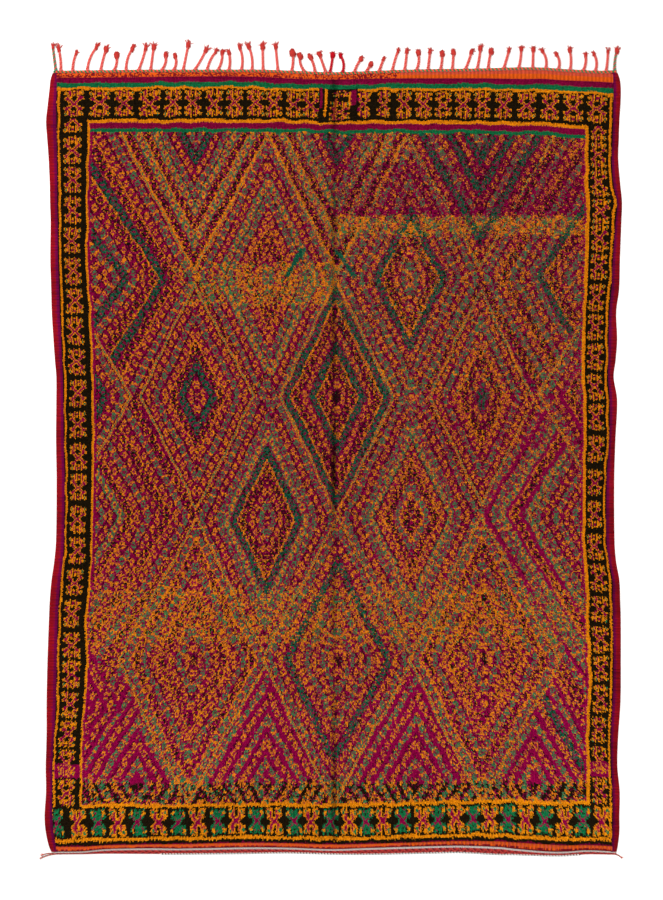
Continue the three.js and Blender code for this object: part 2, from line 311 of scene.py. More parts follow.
def woolMaterial(name, strand, relief, roughness, sheen, shade):
    # dyed wool: the attribute holds each yarn's dye, with painted shade and highlights on some pieces; fibre
    # noise breaks it up, and sheen gives a soft halo
    material = bpy.data.materials.new(name)
    material.use_nodes = True
    tree = material.node_tree
    tree.nodes.clear()
    place = addNode(tree, "ShaderNodeTexCoord").outputs["Object"]
    dye = addNode(tree, "ShaderNodeAttribute", {"attribute_name": "wool"}).outputs["Color"]
    fibre = addNode(tree, "ShaderNodeTexNoise", links={
        "Vector": place, "Scale": 1 / (strand * mm), "Detail": 3.0, "Roughness": 0.6})
    low, high = shade
    level = addNode(tree, "ShaderNodeMapRange", links={
        "Value": fibre.outputs["Fac"], "From Min": 0.3, "From Max": 0.7, "To Min": low, "To Max": high})
    colour = addNode(tree, "ShaderNodeVectorMath", {"operation": "SCALE"}, {
        0: dye, "Scale": level.outputs["Result"]})
    bump = addNode(tree, "ShaderNodeBump", links={
        "Height": fibre.outputs["Fac"], "Distance": relief * mm, "Strength": 0.6})
    shader = addNode(tree, "ShaderNodeBsdfPrincipled", links={
        "Base Color": colour.outputs[0], "Normal": bump.outputs[0], "Roughness": roughness,
        "Sheen Weight": sheen, "Sheen Roughness": 0.5, "Specular IOR Level": 0.03})
    addNode(tree, "ShaderNodeOutputMaterial", links={"Surface": shader.outputs[0]})
    return material


materials = {
    # hand-spun wool cut as pile: matt; the light on its tips and the shade in its hollows are painted into
    # the tufts' colours
    "pile": woolMaterial("cutWoolPile", 2.2, 0.8, 0.95, 0.0, (0.85, 1.15)),
    # weft-faced flat weave, beaten tight: smoother and a little darker; the shade of its ribbing is painted
    # into the strips' colours
    "flatwoven": woolMaterial("weftFacedWool", 2.5, 0.4, 0.9, 0.0, (0.8, 1.1)),
    # plied yarn: the plies are in the mesh, the noise is the fuzz on them
    "plied": woolMaterial("pliedWool", 1.6, 0.4, 0.9, 0.02, (0.8, 1.12)),
    "undyed": woolMaterial("undyedWoolCord", 1.6, 0.3, 0.8, 0.1, (0.85, 1.1)),
    "braided": woolMaterial("braidedWool", 1.6, 0.4, 0.9, 0.0, (0.78, 1.12)),
    "ground": woolMaterial("darkWoolGround", 3.0, 0.4, 0.95, 0.0, (0.8, 1.1)),
}


# 4. Camera, floor and light

photo = {
    "width": 663,
    "height": 900,
    "pixel": 3.5,  # one pixel of the photograph, in millimetres
    "middle": (1.75, -2.1),  # where the photograph's middle falls on the rug
    "lens": 85,
    "sensor": 36,
}

viewHeight = photo["height"] * photo["pixel"] * mm * photo["lens"] / photo["sensor"]
cameraData = bpy.data.cameras.new("cameraAbove")
cameraData.lens = photo["lens"]
cameraData.sensor_width = photo["sensor"]
cameraData.clip_end = 100
camera = bpy.data.objects.new("cameraAbove", cameraData)
camera.location = (
    (photo["middle"][0] + shift[0]) * mm,
    (photo["middle"][1] + shift[1]) * mm,
    viewHeight + cloth["pileHeight"] * mm,
)
bpy.context.scene.collection.objects.link(camera)
bpy.context.scene.camera = camera

stage = {"floorSize": 14, "floorColour": "#f6f5f2"}

floorMesh = bpy.data.meshes.new("floor")
half = stage["floorSize"] / 2
floorCorners = [(-half, -half, 0), (half, -half, 0), (half, half, 0), (-half, half, 0)]
floorMesh.from_pydata(floorCorners, [], [(0, 1, 2, 3)])
floor = bpy.data.objects.new("floor", floorMesh)
bpy.context.scene.collection.objects.link(floor)
floorMaterial = bpy.data.materials.new("palePaintedFloor")
floorMaterial.use_nodes = True
floorShader = floorMaterial.node_tree.nodes["Principled BSDF"]
floorShader.inputs["Base Color"].default_value = (*linearColour(stage["floorColour"]), 1)
floorShader.inputs["Roughness"].default_value = 0.9
floorMesh.materials.append(floorMaterial)

studio = {
    "keyFrom": (-2.6, 2.6, 4.6), "keySize": 3.2, "keyPower": 260,
    "fillFrom": (3.2, -2.0, 4.2), "fillSize": 4.0, "fillPower": 120,
    "sky": "#ffffff", "skyStrength": 0.75,
}


def softLight(name, place, size, power):
    # a square soft box that looks at the middle of the rug
    data = bpy.data.lights.new(name, "AREA")
    data.shape, data.size, data.energy = "SQUARE", size, power
    light = bpy.data.objects.new(name, data)
    light.location = place
    reach = math.hypot(place[0], place[1])
    light.rotation_euler = (math.atan2(reach, place[2]), 0, math.atan2(place[1], place[0]) + math.pi / 2)
    bpy.context.scene.collection.objects.link(light)


softLight("keyBox", studio["keyFrom"], studio["keySize"], studio["keyPower"])
softLight("fillBox", studio["fillFrom"], studio["fillSize"], studio["fillPower"])
world = bpy.data.worlds.new("paleStudio")
bpy.context.scene.world = world
world.use_nodes = True
world.node_tree.nodes["Background"].inputs["Color"].default_value = (*linearColour(studio["sky"]), 1)
world.node_tree.nodes["Background"].inputs["Strength"].default_value = studio["skyStrength"]
bpy.context.scene.view_settings.view_transform = "Standard"
print("camera, floor and light are set")


# 5. Two grids over the pile: the knots of the pattern, and the tufts that the mesh is made of

# how many there are from the left edge, through the field, to the right edge, and down from the top
knots = {"across": (29, 440, 24), "down": (48, 576, 36)}
# a tuft is a little wider than a knot, and each of its four faces shows the dye of the knot below it
tufts = {
    "across": (25, 346, 23), "down": (37, 463, 29),
    "bands": 6,
    "deep": 3.4,  # from the hollow between tufts up to the tip, in millimetres
    "wander": 0.16,  # how far a hollow strays, in tufts
    "tipWander": 0.3,
    "lean": 0.8,  # how far the combed tips lie over, in tufts
    "leanShare": (0.5, 1.2),  # of that lean, from the least combed tuft to the most
    "hollowUneven": 0.5, "tipUneven": 0.9, "tipRise": 0.4,  # in millimetres
    "rimDrop": 1.0,  # how much lower the outermost hollows and tips are, in millimetres
    "shade": (0.55, 1.25),  # painted shade in the hollows between tufts and a painted highlight on the tips, as shares of the dye
}


def edgesOf(counts):
    return np.cumsum([0, *counts]).astype(float)


def acrossZones(share, counts, edges):
    # a border, the field and a border, each stretched evenly between its own two edges
    zone = np.interp(share, edgesOf(counts), np.arange(4.0))
    place = edges[0]
    for k in range(3):
        place = place + np.clip(zone - k, 0, 1) * (edges[k + 1] - edges[k])
    return place


def columnPlaces(y, share, grid):
    # share counts columns from the left edge of the pile; each border has its own width
    left = leftEdge(y) + readRows(sideRows, 2, topLine - y)
    right = rightEdge(y) - readRows(sideRows, 5, topLine - y)
    fieldLeft = left + readRows(sideRows, 3, topLine - y)
    fieldRight = right - readRows(sideRows, 6, topLine - y)
    return acrossZones(share, grid["across"], (left, fieldLeft, fieldRight, right))


def rowPlaces(x, share, grid):
    # share counts rows down from the top edge of the pile
    top = topEdge(x) - readRows(topRows, 2, x)
    low = bottomEdge(x) + readRows(bottomRows, 2, x)
    fieldTop = top - readRows(topRows, 3, x)
    fieldLow = low + readRows(bottomRows, 4, x)
    return acrossZones(share, grid["down"], (top, fieldTop, fieldLow, low))


def gridPlaces(columnShare, rowShare, grid):
    # x follows the side edges at y, and y the end edges at x: three rounds settle both
    x = np.zeros(np.broadcast(columnShare, rowShare).shape)
    y = rowPlaces(x, rowShare, grid)
    for _ in range(3):
        x = columnPlaces(y, columnShare, grid)
        y = rowPlaces(x, rowShare, grid)
    return x, y


leftDeep, rightFrom, knotColumns = (int(edge) for edge in edgesOf(knots["across"])[1:])
topDeep, lowFrom, knotRows = (int(edge) for edge in edgesOf(knots["down"])[1:])
tuftColumns, tuftRows = sum(tufts["across"]), sum(tufts["down"])


# 6. The dyes, and the pattern as a chart with one dye for each knot

dyes = {
    "black": "#1d1408", "wine": "#480220", "purple": "#820639", "magenta": "#8c0340",
    "orange": "#e0860a", "amber": "#c87a12", "coral": "#b8442c",
    "green": "#126f41", "leaf": "#4f7a3a", "sage": "#42724a", "teal": "#145840",
}
dyeNames = list(dyes)
dyeLight = np.array([linearColour(code) for code in dyes.values()])


def dye(name):
    return dyeNames.index(name)


def columnAt(x, y):
    # how many columns from the pile's left edge a place is; beyond the field it runs on evenly
    shares = np.arange(knotColumns + 1.0)
    lines = columnPlaces(np.full(knotColumns + 1, float(y)), shares, knots)
    if lines[0] <= x <= lines[-1]:
        return float(np.interp(x, lines, shares))
    left, right = lines[leftDeep], lines[rightFrom]
    return leftDeep + (x - left) / (right - left) * (rightFrom - leftDeep)


def rowAt(x, y):
    shares = np.arange(knotRows + 1.0)
    lines = rowPlaces(np.full(knotRows + 1, float(x)), shares, knots)
    return float(np.interp(-y, -lines, shares))


chart = np.full((knotRows, knotColumns), dye("black"))

# The field's lozenges. across and up are the middle, steep the sides' slope, core the half width of the
# middle, band the width of each band round it, all in millimetres. bands names the middle and then each
# band outwards: A orange rhombs on dark, E orange on green, D dark on orange, C green on purple, B teal on
# dark; M is a magenta line, L the thin lines of the outline, K plain black. fan is how much steeper the
# bands grow for each millimetre outwards
lozengeColumns = ("across", "up", "steep", "core", "band", "bands", "fan")
backRows = [
    (-843, 603, 1.6, 16, 33, "CCACBCADBDAC", 0.0016),
    (-222, 603, 2.0, 2, 31, "ACADACEAC"),
    (277, 594, 2.0, 14, 30, "DCADBACAC"),
    (889, 603, 1.65, 14, 32.5, "AACADBCACDAC"),
    (-843, -237, 1.7, 35, 33, "ACAEDACADAC"),
    (-226, -247, 2.07, 15, 29.8, "ACADBECAC"),
    (280, -237, 2.05, 15, 29.8, "ADCDAECAC"),
    (889, -233, 1.72, 28, 32.5, "ACACACEMDMECMC"),
    (-679, -1164, 1.75, 27, 30, "MCMAMCMAMCMAMC"),
    (-224, -1164, 1.75, 14, 30, "AMCMAMCMAMCMAMC"),
    (294, -1164, 1.75, 14, 30, "AMCMAMCMAMCMAMC"),
    (707, -1164, 1.78, 27, 30, "MCMAMCMABMCMA"),
]
frontRows = [
    (-472, 1107, 1.87, 6, 31.3, "KCBACEDEDL"),
    (21, 1107, 1.97, 6, 30.2, "KCBACEDEDL"),
    (522, 1107, 1.82, 6, 31.2, "KCBABACBAL"),
    (-861, 183, 1.7, 26, 33.5, "KABACL"),
    (-469, 183, 1.95, 15, 30.4, "AABDACAL"),
    (22, 183, 2.06, 15, 30.4, "KADBADBL"),
    (528, 183, 2.05, 31, 30, "BADACAL"),
    (924, 183, 1.7, 42, 34, "ACDMACL"),
    (-480, -737, 1.93, 14, 30.2, "KACADACDCL"),
    (24, -737, 1.95, 14, 30.2, "KACACABACL"),
    (536, -731, 1.93, 14, 30.4, "KACADACDCL"),
    (-861, -905, 1.7, 21, 31, "AMAMAM"),
]
backLozenges, frontLozenges = (
    [dict(zip(lozengeColumns, row)) for row in rows] for rows in (backRows, frontRows))
fanFrom = 300  # where a fanned lozenge has its own slope, in millimetres from its middle
crossAbove = -300  # the lozenges behind cross each other's outermost bands above this place
bandUnits = {"L": 0.45, "M": 0.45}
# heart, ring, halo, ground and second ground of each band's rhombs, and the line at the band's outer side
bandDyes = {
    "A": ("magenta", "orange", "wine", "purple", "magenta", "wine"),
    "E": ("magenta", "orange", "sage", "purple", "sage", "purple"),
    "D": ("magenta", "black", "orange", "magenta", "wine", "orange"),
    "C": ("purple", "sage", "magenta", "orange", "purple", "wine"),
    "B": ("magenta", "teal", "black", "purple", "teal", "purple"),
    "M": ("magenta", "magenta", "magenta", "magenta", "magenta", "magenta"),
    "K": ("black", "wine", "black", "black", "wine", "wine"),
    "L": ("purple", "purple", "purple", "purple", "purple", "purple"),
}
haloPart, groundPart, secondPart, seamPart = range(2, 6)  # the last four places in bandDyes
lineDyes = ["orange", "sage", "orange", "purple"]
rhomb = {
    "rows": 7, "halfWide": 2.65, "halfTall": 3.5, "heart": 0.52, "ring": 1.02, "halo": 1.42, "seam": 0.9,
    "secondShare": 0.35, "haloShare": 0.25,
}


middleColumns, middleRows = gridPlaces(
    np.array([240.0, 241.0]), np.array([300.0, 301.0]), knots)
knotWide, knotTall = middleColumns[1] - middleColumns[0], middleRows[0] - middleRows[1]
print("a knot is", round(knotWide, 2), "by", round(knotTall, 2), "mm")


def lozengeChart(lozenge, columns, rows):
    # distance from the middle is |columns| + |rows| / slope; each band holds one rhomb every seven rows,
    # drawn as rings round its heart; one band more than the table's fills the gap to the next lozenge
    x, y = lozenge["across"], lozenge["up"]
    column, row = round(columnAt(x, y) - leftDeep), round(rowAt(x, y) - topDeep)
    away, down = np.abs(columns - column), np.abs(rows - row)
    slope = lozenge["steep"] * knotWide / knotTall
    slope = slope + lozenge.get("fan", 0) * ((away + down / slope) * knotWide - fanFrom)
    bands = lozenge["bands"] + "D"
    widths = [bandUnits.get(letter, 1) * lozenge["band"] / knotWide for letter in bands[1:]]
    edges = np.cumsum([0, lozenge["core"] / knotWide] + widths)
    distance = away + down / slope
    band = np.clip(np.searchsorted(edges, distance, side="right") - 1, 0, len(bands) - 1)
    rowMiddle = (np.floor(down / rhomb["rows"]) + 0.5) * rhomb["rows"]
    middles = (edges[:-1] + edges[1:] - rhomb["seam"]) / 2
    middles[0] = 0.5
    rhombMiddle = np.floor(middles[band] - rowMiddle / slope) + 0.5
    aside = np.where(band == 0, away, away - rhombMiddle)
    reach = np.abs(aside) / rhomb["halfWide"] + np.abs(down - rowMiddle) / rhomb["halfTall"]
    part = np.searchsorted([rhomb["heart"], rhomb["ring"], rhomb["halo"]], reach)
    chance = dice.random(columns.shape)
    part = np.where((part == groundPart) & (chance < rhomb["secondShare"]), secondPart, part)
    part = np.where((part == haloPart) & (chance < rhomb["haloShare"]), secondPart, part)
    inSeam = (edges[band + 1] - distance < rhomb["seam"]) & (distance < edges[-2])
    part = np.where(inSeam, seamPart, part)
    table = np.array([[dye(name) for name in bandDyes[letter]] for letter in bands])
    found = table[band, part]
    if "L" in bands:
        place = bands.index("L")
        share = (distance - edges[place]) / (edges[place + 1] - edges[place]) * len(lineDyes)
        lines = np.array([dye(name) for name in lineDyes])
        inLine = (share >= 0) & (share < len(lineDyes))
        found = np.where(inLine, lines[np.clip(share, 0, len(lineDyes) - 1).astype(int)], found)
    return found, distance, edges[-2], edges[-3]


def fieldChart():
    columns, rows = np.arange(rightFrom - leftDeep) + 0.5, np.arange(lowFrom - topDeep) + 0.5
    columns, rows = np.meshgrid(columns, rows)
    found = np.full(columns.shape, dye("black"))
    nearest = np.full(columns.shape, np.inf)
    for lozenge in backLozenges:
        dyed, distance, reach, _ = lozengeChart(lozenge, columns, rows)
        closer = distance - reach < nearest
        found = np.where(closer, dyed, found)
        nearest = np.minimum(nearest, distance - reach)
    for lozenge in backLozenges:  # the outermost bands run on where two lozenges cross
        dyed, distance, reach, last = lozengeChart(lozenge, columns, rows)
        crossing = (distance > last) & (distance < reach) & (lozenge["up"] > crossAbove)
        found = np.where(crossing, dyed, found)
    for lozenge in frontLozenges:
        dyed, distance, reach, _ = lozengeChart(lozenge, columns, rows)
        found = np.where(distance <= reach, dyed, found)
    return found


chart[topDeep:lowFrom, leftDeep:rightFrom] = fieldChart()

chartLetters = {"k": "black", "o": "orange", "m": "magenta", "r": "coral", "g": "green", "l": "leaf"}

# Border figures, charted: one quarter each, from the middle outwards, rows upwards
crossFigure = [
    "mmokkkkk",
    "ommokkkk",
    "kommokkk",
    "kkommmoo",
    "kkkommmo",
    "kkoommok",
    "kkomookk",
    "okomokkk",
    "okomokok",
    "mkomoogo",
    "mkomoogo",
    "okomkkok",
    "kkokkkkk",
]
greenFigure = [
    "mmgkkkkk",
    "mmggkkkk",
    "gmmggkkk",
    "ggmmgggk",
    "gggmmggg",
    "ggggmmgk",
    "kggggggk",
    "kggkgoog",
    "gggkkooo",
    "gmggkoog",
    "gggkkook",
    "kggkkggk",
    "kkgkkkgk",
]
orangeFigure = [
    "mmokkkkk",
    "mmrokkkk",
    "ommrookk",
    "oommrook",
    "kommmroo",
    "kommroro",
    "kommoook",
    "kommoook",
    "komroggo",
    "komooggo",
    "kooooggo",
    "kookooro",
    "kkokkook",
]

# Where the figures stand: across and how wide, along the top; up along the sides; across along the bottom
topFigures = np.array([
    (-901, 72), (-811, 68), (-726, 70), (-637, 69), (-555, 61), (-483, 59), (-408, 58), (-338, 58),
    (-265, 58), (-201, 54), (-133, 54), (-70, 58), (114, 49), (183, 49), (256, 52), (324, 58),
    (394, 55), (463, 59), (532, 56), (606, 61), (685, 63), (767, 63), (848, 68), (931, 69),
])
leftFigures = [
    1046, 941, 836, 731, 624, 518, 411, 306, 198, 85, -27, -135, -245, -354, -466, -574, -683, -785,
    -895, -993, -1098, -1199,
]
rightFigures = [
    1030, 931, 831, 738, 638, 530, 425, 322, 217, 112, -2, -118, -230, -342, -452, -560, -665, -769,
    -875, -980, -1087, -1194,
]
bottomFigures = [
    -956, -887, -814, -746, -676, -602, -534, -467, -396, -329, -262, -198, -131, -68, -2, 61, 122,
    184, 252, 317, 374, 434, 494, 555, 616, 679, 749, 814, 880, 949,
]
border = {
    "upperStripes": [("purple", 5), ("green", 4), ("orange", 3)],
    "upperLines": [("orange", 3), ("purple", 5), ("green", 3)],
    "lowerLine": 3, "lowerOuter": 3, "lowerBlack": 3, "lowerPurple": 1,
    "sideLine": 2, "leftMiddle": 14, "leftWide": 16, "rightMiddle": 12, "rightWide": 14, "sideTall": 24.5,
    "topMiddle": 23, "topTall": 24, "bottomMiddle": 15.5, "bottomTall": 24, "bottomWide": 55,
    "upperAt": 1190, "lowerAt": -1306,  # how far up the end borders' columns are counted
    # across each side, how far up its half figure stands, and the share of that figure that shows
    "leftHalf": (-960, 1152), "rightHalf": (950, 1128), "halfShare": (0.48, 1),
}


def wholeFigure(quarter):
    # the quarter mirrored both ways, top row first
    upper = np.array([[dye(chartLetters[letter]) for letter in row] for row in quarter])[::-1]
    half = np.concatenate([upper, upper[::-1]])
    return np.concatenate([half[:, ::-1], half], axis=1)


def stamp(figure, rowMiddle, columnMiddle, tall, wide, share=(0, 1)):
    # lays a figure on the chart, squeezed to tall rows and wide columns; share keeps part of its height
    top, left = int(round(rowMiddle - tall / 2)), int(round(columnMiddle - wide / 2))
    tall, wide = int(round(tall)), int(round(wide))
    from_, to = int(share[0] * tall), int(share[1] * tall)
    for row in range(from_, to):
        line = figure[min(int((row + 0.5) / tall * figure.shape[0]), figure.shape[0] - 1)]
        picked = line[((np.arange(wide) + 0.5) / wide * figure.shape[1]).astype(int)]
        start = max(-left, 0)
        stop = min(wide, knotColumns - left)
        chart[top + row, left + start:left + stop] = picked[start:stop]


def layLines():
    row = 0
    for name, deep in border["upperStripes"]:
        chart[row:row + deep, :] = dye(name)
        row += deep
    inner = topDeep - sum(deep for _, deep in border["upperLines"])
    line = border["sideLine"]
    lowEnd = knotRows - border["lowerBlack"] - border["lowerPurple"]
    # both sides: black, the outer line, the figures' ground, the inner line and a magenta strip
    chart[row:lowEnd, 1:1 + line] = dye("orange")
    chart[row:lowEnd, knotColumns - 1 - line:knotColumns - 1] = dye("orange")
    chart[inner:lowFrom, leftDeep - line:leftDeep] = dye("orange")
    chart[inner:lowFrom, rightFrom:rightFrom + line + 1] = dye("orange")
    chart[topDeep:lowFrom, leftDeep:leftDeep + 2] = dye("magenta")
    chart[topDeep:lowFrom, rightFrom - 2:rightFrom] = dye("magenta")
    for name, deep in border["upperLines"]:
        first = leftDeep - line if name == "orange" else leftDeep
        last = rightFrom + line + 1 if name == "orange" else rightFrom
        chart[inner:inner + deep, first:last] = dye(name)
        inner += deep
    chart[lowFrom:lowFrom + border["lowerLine"], leftDeep - line:rightFrom + line + 1] = dye("orange")
    chart[lowEnd - border["lowerOuter"]:lowEnd, 1:knotColumns - 1] = dye("orange")
    chart[knotRows - border["lowerPurple"]:, :] = dye("purple")


def layFigures():
    figure = wholeFigure(crossFigure)
    upperAt, lowerAt = border["upperAt"], border["lowerAt"]
    for across, wide in topFigures:
        reach = columnAt(across + wide / 2, upperAt) - columnAt(across - wide / 2, upperAt)
        stamp(figure, border["topMiddle"], columnAt(across, upperAt), border["topTall"], reach)
    sides = (
        (leftFigures, border["leftMiddle"], border["leftWide"], *border["leftHalf"]),
        (rightFigures, rightFrom + border["rightMiddle"], border["rightWide"], *border["rightHalf"]),
    )
    for places, middle, wide, across, half in sides:
        for up in places:
            stamp(figure, rowAt(across, up), middle, border["sideTall"], wide)
        stamp(figure, rowAt(across, half), middle, border["sideTall"], wide, border["halfShare"])
    kinds = [wholeFigure(greenFigure), wholeFigure(orangeFigure)]
    half = border["bottomWide"] / 2
    for number, across in enumerate(bottomFigures):
        reach = columnAt(across + half, lowerAt) - columnAt(across - half, lowerAt)
        stamp(
            kinds[number % 2], lowFrom + border["bottomMiddle"], columnAt(across, lowerAt),
            border["bottomTall"], reach)


# What the weaver did differently: a crowded block in the middle of the top border
crowded = {
    "sides": (-46, 94), "rows": (-3, 26),
    # rows below the ground's top, place across, rows tall, columns wide, and the share that shows
    "figures": [(-2, 36, 14, 16, (0.5, 1)), (16, 31, 17, 18, (0, 1))],
    # the side it stands by, its columns from there, its rows from the ground's top, and its dye
    "bars": [
        (0, 1, 3, -4, 14, "purple"),
        (0, 5, 7, -3, 21, "orange"),
        (1, -8, -6, -1, 12, "orange"),
        (1, -6, -1, -2, 11, "purple"),
        (0, 14, 16, 6, 15, "coral"),
        (0, 13, 15, 15, 24, "coral"),
    ],
}
# two dark strokes below it, each from one place to another
strokes = [(-98, 700, -154, 611), (21, 697, 86, 606)]
# ground dyed magenta near the lower corners: across, and from how low to how high
magentaGround = [(-960, -1152, -1101), (950, -1146, -1091)]
# teeth along the lower line, in columns: how far in from each side, how far apart and how unevenly
teeth = {"fromLeft": 8.0, "fromRight": 4, "pitch": 19, "shortest": 0.9, "spread": 0.2}


def layOddPlaces():
    ground = sum(deep for _, deep in border["upperStripes"])
    sides = [int(round(columnAt(across, border["upperAt"]))) for across in crowded["sides"]]
    first, last = crowded["rows"]
    chart[ground + first:ground + last, sides[0]:sides[1]] = dye("black")
    figure = wholeFigure(crossFigure)
    for below, across, tall, wide, share in crowded["figures"]:
        stamp(figure, ground + below, columnAt(across, border["upperAt"]), tall, wide, share)
    for side, left, right, top, low, name in crowded["bars"]:
        chart[ground + top:ground + low, sides[side] + left:sides[side] + right] = dye(name)
    for x0, y0, x1, y1 in strokes:
        for share in np.linspace(0, 1, 60):
            x, y = x0 + (x1 - x0) * share, y0 + (y1 - y0) * share
            column, row = int(columnAt(x, y)), int(rowAt(x, y))
            chart[row:row + 2, column - 2:column + 2][dice.random((2, 4)) < 0.5] = dye("teal")
    for across, low, high in magentaGround:
        rows = slice(int(rowAt(across, high)), int(rowAt(across, low)))
        columns = slice(3, leftDeep - 2) if across < 0 else slice(rightFrom + 3, knotColumns - 3)
        patch = chart[rows, columns]
        patch[patch == dye("black")] = dye("magenta")
    place = leftDeep + teeth["fromLeft"]
    while place < rightFrom - teeth["fromRight"]:
        column = int(place)
        chart[lowFrom - 1, column - 2:column + 3] = dye("orange")
        chart[lowFrom - 2, column - 1:column + 2] = dye("orange")
        place += teeth["pitch"] * (teeth["shortest"] + teeth["spread"] * dice.random())


layLines()
layFigures()
layOddPlaces()

# Where a new lot of yarn began: left, right, top and foot of each patch, the dyes that give way, the dye
# that takes their place and the share of knots it takes
dark = ("purple", "magenta", "wine", "black")
lots = [
    (20, 900, 1010, 815, ("orange", "amber"), "coral", 0.3),
    (20, 900, 1010, 815, ("orange", "amber", "coral"), "wine", 0.3),
    (20, 900, 1010, 815, ("sage",), "purple", 0.25),
    (20, 900, 845, 818, ("orange", "amber", "sage", "coral"), "magenta", 0.45),
    (22, 900, 818, 750, dark, "orange", 0.26),
    (22, 900, 818, 750, dark, "leaf", 0.26),
    (22, 480, 757, 700, dark, "sage", 0.1),
    (-520, 22, 650, 505, dark, "orange", 0.12),
    (-350, 22, 650, 505, dark, "orange", 0.12),
    (-520, 22, 650, 505, dark, "leaf", 0.24),
    (22, 900, 700, 195, ("purple", "magenta"), "sage", 0.14),
    (340, 900, 195, 0, ("sage",), "purple", 0.35),
    (-900, 900, -380, -860, ("wine", "black"), "amber", 0.25),
    (-900, 900, -490, -680, ("purple", "magenta", "wine"), "orange", 0.16),
    (-900, 900, -490, -680, ("purple", "magenta", "wine"), "leaf", 0.14),
    (-900, 900, -870, -1150, ("wine", "black"), "magenta", 0.45),
    (-900, 900, -870, -1150, ("purple",), "orange", 0.2),
    (-900, 900, -870, -1150, ("purple",), "sage", 0.15),
    (-900, 900, -1165, -1240, ("magenta",), "black", 0.8),
    (-900, 900, -1150, -1240, ("purple", "wine"), "green", 0.2),
    (-900, 900, -1150, -1240, ("purple", "wine"), "orange", 0.35),
]


# how far a lot's ends and sides stray, over waves this long, in millimetres
lotEdge = {"ragged": 6, "raggedWave": 60, "uneven": 45, "unevenWave": 90}


def fieldLots(x, y):
    ragged = lotEdge["ragged"] * softNoise(x, y, lotEdge["raggedWave"], 5)
    uneven = lotEdge["uneven"] * softNoise(x, y, lotEdge["unevenWave"], 6)
    inField = np.zeros(chart.shape, bool)
    inField[topDeep:lowFrom, leftDeep:rightFrom] = True
    for left, right, top, low, old, new, share in lots:
        inside = (x > left + uneven) & (x < right + uneven) & (y < top + ragged) & (y > low + ragged)
        gives = inField & np.isin(chart, [dye(name) for name in old])
        chart[inside & gives & (dice.random(chart.shape) < share)] = dye(new)


chartRows, chartColumns = np.meshgrid(np.arange(knotRows) + 0.5, np.arange(knotColumns) + 0.5, indexing="ij")
fieldLots(*gridPlaces(chartColumns, chartRows, knots))
print("chart:", chart.shape, "knots")


# 7. The pile, in bands across the rug

# how far dyes stray from their places, in knots: in tidy and untidy parts, along the combing, in slow
# waves, and the share of field knots tied in a wrong dye
handwork = {
    "tidy": 0.15, "untidy": 0.6, "slant": 0.35, "wave": 0.7, "waveLength": 110, "stray": 0.03,
    # untidy from a fifth of the way across, less so downwards; the upper and right borders are neat
    "looseFrom": 0.2, "looseRise": 3, "looseTop": 1.25, "looseFall": 0.95, "looseBorder": 0.1,
    # combing begins this far down, is full after as much again, and turns outwards towards the sides
    "combFrom": 0.42, "combOver": 0.5, "combAside": 2.6,
    "faceReach": 0.28,  # from a tuft's middle to a face's own, in tufts
}


def slant(rows, columns):
    # the way the pile leans: none in the upper half; at the foot down, and outwards towards the sides
    combed = np.clip((rows / tuftRows - handwork["combFrom"]) / handwork["combOver"], 0, 1)
    aside = np.clip((columns / tuftColumns - 0.5) * handwork["combAside"], -1, 1)
    return combed * aside, combed


def faceDyes(x, y, rows, columns):
    # each tuft's four faces look up the knot under their own middle, a little astray
    count = (*rows.shape, 4)
    rightward = np.clip((columns / tuftColumns - handwork["looseFrom"]) * handwork["looseRise"], 0, 1)
    middle = rightward * np.clip(handwork["looseTop"] - handwork["looseFall"] * rows / tuftRows, 0, 1)
    inBorder = (rows < tufts["down"][0]) | (columns > tuftColumns - tufts["across"][2])
    middle = np.where(inBorder, handwork["looseBorder"], middle)
    loose = (handwork["tidy"] + (handwork["untidy"] - handwork["tidy"]) * middle)[..., None]
    leanX, leanY = slant(rows, columns)
    along = dice.standard_normal(rows.shape) * handwork["slant"]
    waveX = handwork["wave"] * softNoise(x, y, handwork["waveLength"], 21)
    waveY = handwork["wave"] * softNoise(x, y, handwork["waveLength"], 22)
    faceX = columns[..., None] + handwork["faceReach"] * np.array([-1, 0, 1, 0])
    faceY = rows[..., None] + handwork["faceReach"] * np.array([0, 1, 0, -1])
    column = np.interp(faceX, edgesOf(tufts["across"]), edgesOf(knots["across"]))
    row = np.interp(faceY, edgesOf(tufts["down"]), edgesOf(knots["down"]))
    column = column + (along * leanX + waveX)[..., None] + dice.standard_normal(count) * loose
    row = row + (along * leanY + waveY)[..., None] + dice.standard_normal(count) * loose
    column = np.clip(column.astype(int), 0, knotColumns - 1)
    row = np.clip(row.astype(int), 0, knotRows - 1)
    found = chart[row, column]
    inField = (column > leftDeep) & (column < rightFrom) & (row > topDeep) & (row < lowFrom)
    wrong = dice.choice([dye("orange"), dye("sage"), dye("magenta"), dye("wine")], count)
    found = np.where(inField & (dice.random(count) < handwork["stray"]), wrong, found)
    return found, inField


# random tone of the tufts, redder field oranges, and the painted shade along the old fold
toneAndFoldShade = {
    "redder": 0.5, "uneven": 0.14, "cloud": 0.05, "cloudSize": 400, "darkest": 0.6, "lightest": 1.45,
    "paintedFoldShade": 0.75, "foldShadeHalf": 11, "foldShadeSteady": 0.6, "foldShadeBroken": 0.4, "foldShadeWave": 260,
}


